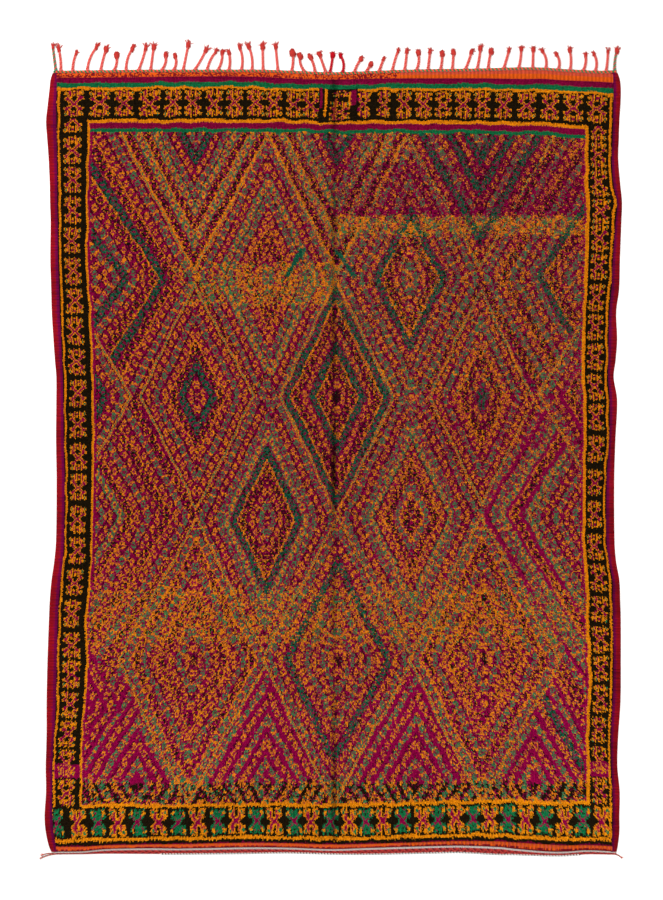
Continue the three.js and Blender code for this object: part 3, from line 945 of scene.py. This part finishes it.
def tuftColours(x, y, rows, columns):
    # each tuft a little lighter or darker, field oranges a little redder; painted shade darkens the tufts
    # along the old fold
    found, inField = faceDyes(x, y, rows, columns)
    colour = dyeLight[found]
    orange = np.isin(found, [dye("orange"), dye("amber")])
    redder = (orange & inField)[..., None] * dice.random((*rows.shape, 1, 1)) * toneAndFoldShade["redder"]
    colour = colour * (1 - redder) + dyeLight[dye("coral")] * redder
    cloud = toneAndFoldShade["cloud"] * softNoise(x, y, toneAndFoldShade["cloudSize"], 9)
    level = 1 + toneAndFoldShade["uneven"] * dice.standard_normal(rows.shape) + cloud
    # painted shade: tufts near the crease are darkened for the shadow in the fold
    nearFoldShade = toneAndFoldShade["paintedFoldShade"] * np.exp(-((x - cloth["creaseAt"]) / toneAndFoldShade["foldShadeHalf"]) ** 2)
    paintedFoldShade = 1 - nearFoldShade * (toneAndFoldShade["foldShadeSteady"] + toneAndFoldShade["foldShadeBroken"] * softNoise(x * 0, y, toneAndFoldShade["foldShadeWave"], 3))
    return colour * (np.clip(level, toneAndFoldShade["darkest"], toneAndFoldShade["lightest"]) * paintedFoldShade)[..., None, None]


def pilePoints():
    rows, columns = np.meshgrid(np.arange(tuftRows + 1.0), np.arange(tuftColumns + 1.0), indexing="ij")
    inside = (rows > 0) & (rows < tuftRows) & (columns > 0) & (columns < tuftColumns)
    stray = dice.uniform(-1, 1, (2, *rows.shape)) * tufts["wander"] * inside
    x, y = gridPlaces(columns + stray[0], rows + stray[1], tufts)
    fromEdge = np.minimum(np.minimum(rows, tuftRows - rows), np.minimum(columns, tuftColumns - columns))
    top = pileTop(x, y)
    edge = np.clip(fromEdge / 2, 0, 1)
    hollow = (top - tufts["deep"]) * edge + (cloth["flatHeight"] - tufts["rimDrop"]) * (1 - edge)
    hollow = hollow + dice.uniform(-1, 1, rows.shape) * tufts["hollowUneven"] * (fromEdge > 1)
    corners = np.stack([x, y, hollow], -1)
    rows, columns = np.meshgrid(np.arange(tuftRows) + 0.5, np.arange(tuftColumns) + 0.5, indexing="ij")
    light = tuftColours(*gridPlaces(columns, rows, tufts), rows, columns)
    stray = dice.uniform(-1, 1, (2, *rows.shape)) * tufts["tipWander"]
    leanX, leanY = slant(rows, columns)
    stray[0] += leanX * tufts["lean"] * dice.uniform(*tufts["leanShare"], rows.shape)
    stray[1] += leanY * tufts["lean"] * dice.uniform(*tufts["leanShare"], rows.shape)
    x, y = gridPlaces(columns + stray[0], rows + stray[1], tufts)
    fromEdge = np.minimum(np.minimum(rows, tuftRows - rows), np.minimum(columns, tuftColumns - columns))
    tip = np.where(fromEdge < 1, cloth["pileEdge"] - tufts["rimDrop"], pileTop(x, y) + tufts["tipRise"])
    tip = tip + dice.uniform(-tufts["tipUneven"], tufts["tipUneven"], rows.shape)
    return corners, np.stack([x, y, tip], -1), light


cornerPoints, tipPoints, tuftLight = pilePoints()
uvMargin = 0.001  # between a band's map and the edge of its square


def pileBand(number, first, last):
    # each tuft is four leaning faces round its tip; tufts share their hollows
    deep = last - first
    wide = tuftColumns
    corners = cornerPoints[first:last + 1].reshape(-1, 3)
    tips = tipPoints[first:last].reshape(-1, 3)
    row, column = np.meshgrid(np.arange(deep), np.arange(wide), indexing="ij")
    upperLeft = (row * (wide + 1) + column).ravel()
    lowerLeft = upperLeft + wide + 1
    tip = len(corners) + np.arange(deep * wide)
    hollows = np.stack([upperLeft, lowerLeft, lowerLeft + 1, upperLeft + 1], 1)
    tip = np.repeat(tip[:, None], 4, 1)
    faces = np.stack([hollows, np.roll(hollows, -1, 1), tip], -1).reshape(-1, 3)
    # painted shade and highlight: each face's two hollow corners darker and its tip corner lighter than the
    # dye
    paintedHollowShade, paintedTipHighlight = tufts["shade"]
    shades = np.array([paintedHollowShade, paintedHollowShade, paintedTipHighlight])
    colours = tuftLight[first:last].reshape(-1, 1, 3) * shades[None, :, None]
    # the band's two halves lie one above the other on its map, so that every tuft has several pixels
    halfWide = (wide + 1) // 2
    folded = column >= halfWide
    left = ((column - folded * halfWide) / halfWide).ravel()
    up = ((row + folded * deep) / (2 * deep)).ravel()
    stepX, stepY = 1 / halfWide, 1 / (2 * deep)
    cell = np.array([(0, 0), (0, 1), (1, 1), (1, 0)], float)
    cell = np.stack([cell, np.roll(cell, -1, 0), np.full((4, 2), 0.5)], 1).reshape(-1, 2)
    uv = np.stack([left[:, None] + cell[None, :, 0] * stepX, up[:, None] + cell[None, :, 1] * stepY], -1)
    uv = uvMargin + (1 - 2 * uvMargin) * uv
    shape = np.concatenate([corners, tips]), faces, colours
    return woolPiece(f"pileBand{number}", shape, "pile", uv, smooth=False)


cuts = np.linspace(0, tuftRows, tufts["bands"] + 1).astype(int)
pileBands = [pileBand(k + 1, cuts[k], cuts[k + 1]) for k in range(tufts["bands"])]
print("pile:", tuftRows * tuftColumns, "tufts in", len(pileBands), "bands")


# 8. The woven ground under the pile, a thin sheet

ground = {"rows": 60, "columns": 40, "top": 2.6, "foot": 0.3, "inset": 2.5, "dye": "#3a1420"}


def groundSheet():
    # upper face a grid inside the outline, lower face the same at the foot, joined round the rim
    wide, deep = ground["columns"], ground["rows"]
    share = np.linspace(0, 1, wide + 1)[None, :]
    fall = np.linspace(0, 1, deep + 1)[:, None]
    x = np.zeros((deep + 1, wide + 1))
    for _ in range(3):
        top, low = topEdge(x) - ground["inset"], bottomEdge(x) + ground["inset"]
        y = top + fall * (low - top)
        left, right = leftEdge(y) + ground["inset"], rightEdge(y) - ground["inset"]
        x = left + share * (right - left)
    upper = np.stack([x, y, np.full(x.shape, ground["top"])], -1).reshape(-1, 3)
    lower = upper * (1, 1, 0) + (0, 0, ground["foot"])
    upperFaces = gridFaces(deep, wide)
    lowerFaces = upperFaces[:, ::-1] + len(upper)
    rim = np.concatenate([
        np.arange(wide), np.arange(deep) * (wide + 1) + wide,
        deep * (wide + 1) + np.arange(wide, 0, -1), np.arange(deep, 0, -1) * (wide + 1),
    ])
    following = np.roll(rim, -1)
    rimFaces = np.stack([rim, following, following + len(upper), rim + len(upper)], 1)
    faces = np.concatenate([upperFaces, lowerFaces, rimFaces])
    shape = np.concatenate([upper, lower]), faces, np.tile(linearColour(ground["dye"]), (len(faces), 1))
    return woolPiece("groundCloth", shape, "ground", smooth=False)


groundCloth = groundSheet()


# 9. The flat-woven edges: ribbed strips from the rug's edge in under the pile

weave = {
    "sideRib": 5.1, "sideRelief": 0.35,
    "endRib": 6.8, "endRelief": 0.5,
    "under": 4.0,  # how far a strip reaches in under the pile
    "ribFrom": 2.5, "ribOver": 1.5,  # the ribs begin at this height and are full this much above it
    "leftLevel": 0.77, "rightLevel": 0.62,  # how light each selvedge's dyes are
    "uneven": 0.3, "wave": 0.1, "waveRows": 17, "stray": 0.25, "ribShades": (1.08, 0.9),
    # across a strip: the share of its width, and the height; past 1 is in under the pile
    "sideProfile": [
        (0, 0.4), (0.02, 2.6), (0.12, 4.0), (0.28, 4.5), (0.46, 3.9), (0.66, 4.5), (0.9, 4.1), (2, 2.6)],
    "endProfile": [(0, 0.4), (0.04, 2.8), (0.2, 4.2), (0.45, 4.4), (0.7, 4.3), (0.95, 4.2), (2, 2.6)],
}
selvedgeDyes = ["#a01418", "#880c16", "#8a0c1e", "#780634", "#6e043e", "#62043a"]
selvedgeOrder = np.array([0, 0, 1, 1, 2, 4, 5])  # the dye of each face across, from the outer edge
endDyes = ["#c44c10", "#6c1018", "#b8442c"]
endWeft = {"changeAt": 240, "speckle": 0.5, "purl": 0.6, "uneven": 0.25, "paintedGrooveShade": 0.72, "past": 3}


def ribbedStrip(outer, inner, profile, relief, shades, turned):
    # outer and inner edges by rows; across, share and height follow the profile, ribs stand up in turn
    shares, heights = (np.array(column, float)[None, :] for column in zip(*profile))
    ribs = np.where(np.arange(len(outer)) % 2 == 0, 1.0, -1.0)
    reach = inner - outer
    length = np.maximum(np.linalg.norm(reach, axis=1, keepdims=True), 1e-6)
    share = shares[..., None]
    along = np.where(share > 1, 1 + (share - 1) * (weave["under"] / length[:, None]), share)
    flat = outer[:, None] + reach[:, None] * along
    up = heights + relief * ribs[:, None] * np.clip((heights - weave["ribFrom"]) / weave["ribOver"], 0, 1)
    points = np.concatenate([flat, up[..., None]], -1).reshape(-1, 3)
    rows, columns = up.shape
    faces = gridFaces(rows - 1, columns - 1)
    row, column = np.divmod(np.arange(len(faces)), columns - 1)
    return points, faces[:, ::-1] if turned else faces, shades(row, column)


def selvedge(name, isLeft):
    count = int(cloth["length"] / weave["sideRib"]) * 2
    y = np.linspace(topEdge(0.0), bottomEdge(0.0), count)
    edge = leftEdge(y) if isLeft else rightEdge(y)
    sign = 1 if isLeft else -1
    band = readRows(sideRows, 2 if isLeft else 5, topLine - y)
    ends = topEdge(edge + sign * band / 2), bottomEdge(edge + sign * band / 2)
    y = np.linspace(0, 1, count) * (ends[1] - ends[0]) + ends[0]
    outer = np.stack([edge, y], 1)
    inner = np.stack([edge + sign * band, y], 1)
    palette = np.array(linearColours(selvedgeDyes))
    base = weave["leftLevel" if isLeft else "rightLevel"]

    def shades(row, column):
        lot = dice.random(count)
        level = base + weave["wave"] * np.sin(row / weave["waveRows"]) + weave["uneven"] * (lot[row] - 0.5)
        strays = dice.random(len(row)) < weave["stray"]
        picked = np.clip(selvedgeOrder[column] + strays, 0, len(palette) - 1)
        # painted light and shade: the ribs in turn lighter and darker
        return palette[picked] * (level * np.where(row // 2 % 2 == 0, *weave["ribShades"]))[:, None]

    shape = ribbedStrip(outer, inner, weave["sideProfile"], weave["sideRelief"], shades, not isLeft)
    return woolPiece(name, shape, "flatwoven")


def endBand(name, isTop):
    line = np.array(topLine if isTop else bottomLine)
    left, right = (columnPlaces(line, share, tufts) for share in (0, tuftColumns))
    count = int((right - left) / weave["endRib"]) * 2
    x = np.linspace(left - endWeft["past"], right + endWeft["past"], count)
    edge = topEdge(x) if isTop else bottomEdge(x)
    band = readRows(topRows if isTop else bottomRows, 2, x)
    outer = np.stack([x, edge], 1)
    inner = np.stack([x, edge - band if isTop else edge + band], 1)
    palette = np.array(linearColours(endDyes))

    def shades(row, column):
        changed = x[row] > endWeft["changeAt"]
        if isTop:
            speckled = np.where(dice.random(len(row)) < endWeft["speckle"], 0, 1)
            main = np.where(changed, np.where(column < 3, 2, 0), speckled)
        else:
            purled = (column == 2) & (dice.random(len(row)) < endWeft["purl"])
            dark = (column > 4) | (column < 2) | purled
            main = np.where(dark, 1, np.where(dice.random(len(row)) < endWeft["purl"], 0, 2))
        level = 1 + endWeft["uneven"] * (dice.random(len(row)) - 0.5)
        # painted shade: past the change every other rib is darkened for the shade of the ribbing
        paintedGrooveShade = np.where((row // 2 % 2 == 0) | ~changed, 1.0, endWeft["paintedGrooveShade"])
        return palette[main] * (level * paintedGrooveShade)[:, None]

    shape = ribbedStrip(outer, inner, weave["endProfile"], weave["endRelief"], shades, not isTop)
    return woolPiece(name, shape, "flatwoven")


flatwovenPieces = [
    selvedge("selvedgeLeft", True), selvedge("selvedgeRight", False),
    endBand("flatweaveTop", True), endBand("flatweaveBottom", False),
]
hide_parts("rug_cloth")
print("ground, selvedges and end bands are laid")


# 10. Plied yarns: two strands wound round each other along a path

# strands press a little into each other; no yarn goes below floor, in millimetres; steps in each turn
yarn = {"overlap": 1.08, "floor": 0.25, "turnSteps": 6}


def twistedPair(path, radius, pitch, colours, sides=4, steps=None, taper=None, plump=1.0, flat=1.0):
    # strand = path + radius * (cos turn, sin turn) across it, turn = 2 pi * length / pitch; a plump
    # strand is thicker and winds closer, so that the upper one covers the other; flat presses the cord
    spans = np.linalg.norm(np.diff(path, axis=0), axis=1)
    run = np.concatenate([[0], np.cumsum(spans)])
    count = steps or max(int(run[-1] / pitch * yarn["turnSteps"]), 3)
    along = np.linspace(0, run[-1], count)
    middle = np.stack([np.interp(along, run, path[:, k]) for k in range(3)], 1)
    ahead = np.gradient(middle, axis=0)
    ahead /= np.maximum(np.linalg.norm(ahead, axis=1, keepdims=True), 1e-9)
    across = np.stack([-ahead[:, 1], ahead[:, 0], np.zeros(count)], 1)
    across /= np.maximum(np.linalg.norm(across, axis=1, keepdims=True), 1e-9)
    upward = np.cross(ahead, across)
    size = np.full(count, 1.0) if taper is None else np.interp(along / run[-1], taper[0], taper[1])
    ring = ringAngles(sides)[None, :, None]
    offset = np.cos(ring) * across[:, None] + np.sin(ring) * upward[:, None]
    faces = tubeFaces(count - 1, sides)
    parts = []
    for strand, colour in enumerate(colours):
        turn = 2 * math.pi * along / pitch + math.pi * 2 * strand / len(colours)
        centre = middle + (size * radius * (2 - plump))[:, None] * (
            np.cos(turn)[:, None] * across + np.sin(turn)[:, None] * upward)
        points = centre[:, None] + offset * (size * radius * yarn["overlap"] * plump)[:, None, None]
        pressed = middle[:, None, 2] + (points[..., 2] - middle[:, None, 2]) * flat
        points[..., 2] = np.maximum(pressed, yarn["floor"])
        parts.append((points.reshape(-1, 3), faces, np.tile(colour, (len(faces), 1))))
    return joined(parts)


# 11. The top cord and its tassels

topCord = {
    "width": 8.4, "height": 5.0, "gap": 0.3, "pitch": 13.6, "lift": 0.2, "plump": 1.7, "flat": 0.55,
    "colours": ["#1c7040", "#e0493a"],
}
inset = 2  # the cords' ends are read this far inside the cloth's ends, in millimetres
topLow, topHigh = leftEdge(np.array(topLine - inset)), rightEdge(np.array(topLine - inset))


def topCordParts():
    x = np.linspace(topLow, topHigh, 500)
    y = topEdge(x) + topCord["gap"] + topCord["width"] / 2
    path = np.stack([x, y, np.full(len(x), topCord["height"] / 2 + topCord["lift"])], 1)
    return twistedPair(
        path, topCord["width"] / 4, topCord["pitch"], linearColours(topCord["colours"]),
        sides=6, plump=topCord["plump"], flat=topCord["flat"])


# across, how far the tip leans, how far it reaches, how far it bows, and the knot's width
tasselRows = np.array([
    (-964, -12, 94, 0, 10),
    (-947, -10, 87, 4, 14),
    (-905, 15, 68, -4, 10),
    (-854, 40, 91, -9, 13),
    (-807, 22, 84, -2, 18),
    (-760, 7, 61, 6, 20),
    (-718, 28, 84, -8, 15),
    (-674, 27, 88, 2, 14),
    (-632, 12, 91, 0, 17),
    (-593, 12, 61, 8, 16),
    (-551, 1, 57, 8, 15),
    (-518, 20, 99, 0, 16),
    (-478, 44, 80, 2, 16),
    (-434, 36, 70, -6, 11),
    (-396, 14, 70, 6, 14),
    (-358, -2, 69, 5, 14),
    (-314, -10, 89, 8, 14),
    (-277, -17, 93, 8, 16),
    (-238, -2, 93, 0, 18),
    (-186, -9, 95, 0, 15),
    (-138, 2, 72, 4, 22),
    (-92, -15, 63, -8, 20),
    (-56, -21, 60, 4, 18),
    (-18, -25, 72, 0, 16),
    (-4, 10, 70, 2, 17),
    (40, -12, 65, 10, 13),
    (82, 28, 53, -3, 16),
    (124, 17, 30, 0, 18),
    (169, 17, 49, 0, 12),
    (215, 23, 76, -2, 11),
    (258, 8, 74, 1, 13),
    (300, 4, 68, 6, 18),
    (340, 8, 72, 0, 13),
    (384, 6, 63, 2, 18),
    (425, 4, 68, 1, 18),
    (471, 23, 69, 2, 15),
    (512, 12, 82, 2, 16),
    (551, 12, 68, -2, 19),
    (606, 20, 69, 0, 13),
    (658, 8, 75, 3, 14),
    (707, 2, 72, 0, 16),
    (753, -18, 67, 9, 14),
    (797, -12, 57, 9, 13),
    (838, -4, 78, 5, 15),
    (884, 6, 61, 6, 12),
    (926, -9, 67, 9, 12),
    (964, 6, 77, 2, 11),
    (994, 11, 79, -4, 17),
], float)

tassel = {
    "stem": 10.5,
    "stemColours": ["#d8625a", "#c84a42"],
    "redColours": ["#c01c2a", "#a80c18"],
    "greenColour": "#2a8058",
    "redTassels": (24, 25),
    "steps": 12, "knotStep": 9, "stemSteps": 18, "lift": 0.3, "pitch": 15, "flat": 0.7,
    "taper": ([0, 0.15, 1], [1.6, 1.15, 1.05]),  # thick where it leaves the cord
    # the ends past the knot: their share of the tassel, thickness, number, spread and lightness
    "ends": (0.28, 2.0, 15, 0.75, 1.1),
    # the ends that stick out of the knot backwards, as a share of the knot's width
    "plucked": (0.9, 1.6, 7, 1.0, 0.9),
    "knot": "#b0322c",
}
knotShape = {
    "sides": 9, "rings": 7, "lobe": 0.25, "ragged": 0.15, "uneven": 0.3,
    "across": 0.5, "along": 0.62, "up": 0.36,  # half its size each way, as shares of its width
}
fray = {"shortest": 0.55, "bend": 0.5, "lie": 1.2, "rise": 2.5, "taper": [1, 0.8, 0.25], "uneven": 0.35}


def knotBall(centre, ahead, size, colour):
    # an overhand knot as a ragged lump: radius 1 + lobe * sin(3 round + 2 along), flattened on the floor
    sides, rings, ragged = knotShape["sides"], knotShape["rings"], knotShape["ragged"]
    round_, along = np.meshgrid(np.arange(sides) / sides * 2 * math.pi, np.linspace(0, math.pi, rings))
    radius = 1 + knotShape["lobe"] * np.sin(3 * round_ + 2 * along)
    radius = radius + dice.uniform(-ragged, ragged, round_.shape)
    across = np.array([-ahead[1], ahead[0]])
    sideways = (np.sin(along) * np.cos(round_) * radius)[..., None] * across * size * knotShape["across"]
    flat = sideways + (np.cos(along) * radius)[..., None] * ahead * size * knotShape["along"]
    up = centre[2] + np.sin(along) * np.sin(round_) * radius * size * knotShape["up"]
    up = np.maximum(up, yarn["floor"])
    points = np.concatenate([centre[:2] + flat, up[..., None]], -1).reshape(-1, 3)
    faces = tubeFaces(rings - 1, sides)[:, [0, 3, 2, 1]]
    level = 1 + knotShape["uneven"] * (dice.random(len(faces)) - 0.5)
    return points, faces, colour * level[:, None]


def frayed(start, ahead, length, width, count, spread, colour):
    # loose ends: thin three-sided spikes fanned round the heading, each sagging to the floor
    heading = math.atan2(ahead[0], ahead[1]) + dice.uniform(-spread, spread, count)
    long = length * dice.uniform(fray["shortest"], 1.0, count)
    share = np.array([0, 0.5, 1.0])[None, :]
    bend = dice.uniform(-fray["bend"], fray["bend"], count)[:, None]
    angle = heading[:, None] + bend * share
    x = start[0] + np.sin(angle) * long[:, None] * share
    y = start[1] + np.cos(angle) * long[:, None] * share
    rise = dice.uniform(0, fray["rise"], count)[:, None] * share * (1 - share) * 4
    z = start[2] * (1 - share) + fray["lie"] + rise
    ring = ringAngles(3)[None, None, :, None]
    size = width * np.array(fray["taper"])
    side = np.stack([np.cos(angle), -np.sin(angle), np.zeros(angle.shape)], -1)
    centre = np.stack([x, y, z], -1)
    points = centre[:, :, None] + size[None, :, None, None] * (
        np.cos(ring) * side[:, :, None] + np.sin(ring) * np.array([0, 0, 1.0]))
    points[..., 2] = np.maximum(points[..., 2], yarn["floor"])
    faces = (tubeFaces(2, 3)[None] + 9 * np.arange(count)[:, None, None]).reshape(-1, 4)
    level = 1 + fray["uneven"] * (dice.random(count) - 0.5)
    return points.reshape(-1, 3), faces, colour * np.repeat(level, 6)[:, None]


def tasselParts(number, row):
    across, lean, reach, bow, knot = row
    root = np.array([across, float(topEdge(np.array(across))) + topCord["width"] - 2])
    share = np.linspace(0, 1, tassel["steps"])[:, None]
    run = np.array([lean, reach])
    length = math.hypot(lean, reach)
    ahead = run / length
    toRight = np.array([ahead[1], -ahead[0]])
    flat = root + run * share + toRight * bow * 4 * share * (1 - share)
    height = tassel["stem"] * 0.42 + tassel["lift"]
    path = np.concatenate([flat, np.full((tassel["steps"], 1), height)], 1)
    last = tassel["knotStep"]
    red = number in tassel["redTassels"]
    pair = linearColours(tassel["redColours" if red else "stemColours"])
    if number in (0, len(tasselRows) - 1):
        pair[0] = linearColour(tassel["greenColour"])
    knotColour = pair[1] if red else linearColour(tassel["knot"])
    parts = [twistedPair(
        path[:last + 1], tassel["stem"] / 4, tassel["pitch"], pair,
        steps=tassel["stemSteps"], taper=tassel["taper"], flat=tassel["flat"])]
    centre = path[last] * 0.4 + path[last + 1] * 0.6
    parts.append(knotBall(centre, ahead, knot, knotColour))
    for (size, *ends, level), way, whole in ((tassel["ends"], 1, length), (tassel["plucked"], -1, knot)):
        parts.append(frayed(centre, way * ahead, whole * size, *ends, knotColour * level))
    return joined(parts)


tassels = [tasselParts(number, row) for number, row in enumerate(tasselRows)]
topPiece = woolPiece("topCordTassels", joined([topCordParts(), *tassels]), "plied")
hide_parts("top_cord_tassels")
print("top cord and", len(tasselRows), "tassels")


# 12. The pale cord and the braid along the bottom

bottomCord = {"width": 3.8, "height": 3.6, "gap": 0.3, "pitch": 11, "colours": ["#cfc6bc", "#a99f97"]}
braid = {
    "height": 4.6, "pitch": 24, "colours": ["#a82a2c", "#5a1216", "#b04238"],
    # strands swing aside and swell as shares of the braid's width, and rise in millimetres
    "turnSteps": 8, "sides": 5, "swing": 0.3, "rise": 0.6, "halfWide": 0.2, "halfTall": 0.36, "uneven": 0.25,
}
checks = {
    "from": -598, "to": 872, "colours": ["#f4efe8", "#140f0e"],
    "pitch": 10.5, "radius": 1.25, "plump": 2.0, "height": 3.1,
    "over": 1.6,  # how far it lies over the braid's edge
}
bottomLow, bottomHigh = leftEdge(np.array(bottomLine + inset)), rightEdge(np.array(bottomLine + inset))
braidFrom = bottomCord["gap"] * 2 + bottomCord["width"]


def lowerPath(x, away, height):
    return np.stack([x, bottomEdge(x) - away, np.full(len(x), height)], 1)


cordPath = lowerPath(
    np.linspace(bottomLow, bottomHigh, 400), bottomCord["gap"] + bottomCord["width"] / 2,
    bottomCord["height"] / 2)
cordShape = twistedPair(
    cordPath, bottomCord["width"] / 4, bottomCord["pitch"], linearColours(bottomCord["colours"]))
cordPiece = woolPiece("bottomCord", cordShape, "undyed")
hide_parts("bottom_cord")


def plait():
    # strands a third of a turn apart: aside = swing * width * cos(turn), up = rise * sin(2 turn)
    count = int((bottomHigh - bottomLow) / braid["pitch"] * braid["turnSteps"])
    x = np.linspace(bottomLow, bottomHigh, count)
    wide = readRows(bottomRows, 3, x)
    middle = bottomEdge(x) - braidFrom - wide / 2
    ring = ringAngles(braid["sides"])[None]
    faces = tubeFaces(count - 1, braid["sides"])
    parts = []
    for strand, colour in enumerate(linearColours(braid["colours"])):
        turn = 2 * math.pi * (x - bottomLow) / braid["pitch"] + 2 * math.pi * strand / 3
        y = middle + wide * braid["swing"] * np.cos(turn)
        z = braid["height"] / 2 + braid["rise"] * np.sin(2 * turn)
        y = y[:, None] + np.cos(ring) * wide[:, None] * braid["halfWide"]
        z = z[:, None] + np.sin(ring) * (braid["height"] * braid["halfTall"])
        points = np.stack([np.broadcast_to(x[:, None], y.shape), y, z], -1).reshape(-1, 3)
        level = 1 + braid["uneven"] * (dice.random(len(faces)) - 0.5)
        parts.append((points, faces, colour * level[:, None]))
    return joined(parts)


def checkCord():
    # one thick cord, pale and dark for half a turn each
    x = np.linspace(checks["from"], checks["to"], 300)
    path = lowerPath(x, braidFrom + readRows(bottomRows, 3, x) - checks["over"], checks["height"])
    pale, dark = linearColours(checks["colours"])
    points, faces, _ = twistedPair(path, checks["radius"], checks["pitch"], [pale], plump=checks["plump"])
    halfTurn = yarn["turnSteps"] // 2 * 4  # faces, at four to each step
    isPale = np.arange(len(faces)) // halfTurn % 2 == 0
    return points, faces, np.where(isPale[:, None], pale, dark)


# The loose ends at the corners: where each starts, how far it runs, its bow and its thickness
cornerRows = [
    (-964, -1418, -54, -15, 3, 5),
    (-966, -1418, -47, -4, 4, 4),
    (990, -1418, 27, -12, -3, 5),
]
cornerEnd = {
    "height": 2.6, "pitch": 12, "colours": ["#d0604e", "#5a2a20"],
    "fray": (14, 0.9, 7, 0.6),  # length, thickness, number and spread
}


def cornerParts():
    pair = linearColours(cornerEnd["colours"])
    share = np.linspace(0, 1, 10)[:, None]
    parts = []
    for across, up, runX, runY, bow, width in cornerRows:
        run = np.array([runX, runY], float)
        ahead = run / np.linalg.norm(run)
        side = np.array([ahead[1], -ahead[0]])
        flat = np.array([across, up]) + run * share + side * bow * 4 * share * (1 - share)
        path = np.concatenate([flat, np.full((len(share), 1), cornerEnd["height"])], 1)
        parts.append(twistedPair(path, width / 4, cornerEnd["pitch"], pair, steps=20))
        parts.append(frayed(path[-2], ahead, *cornerEnd["fray"], pair[0]))
    return joined(parts)


braidPiece = woolPiece("bottomBraid", joined([plait(), checkCord(), cornerParts()]), "braided")
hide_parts("bottom_braid")
print("bottom cord and braid")

total = 0
for piece in bpy.context.scene.objects:
    if piece.type == "MESH" and not piece.hide_render and piece != floor:
        piece.data.calc_loop_triangles()
        total += len(piece.data.loop_triangles)
print("triangles:", total)
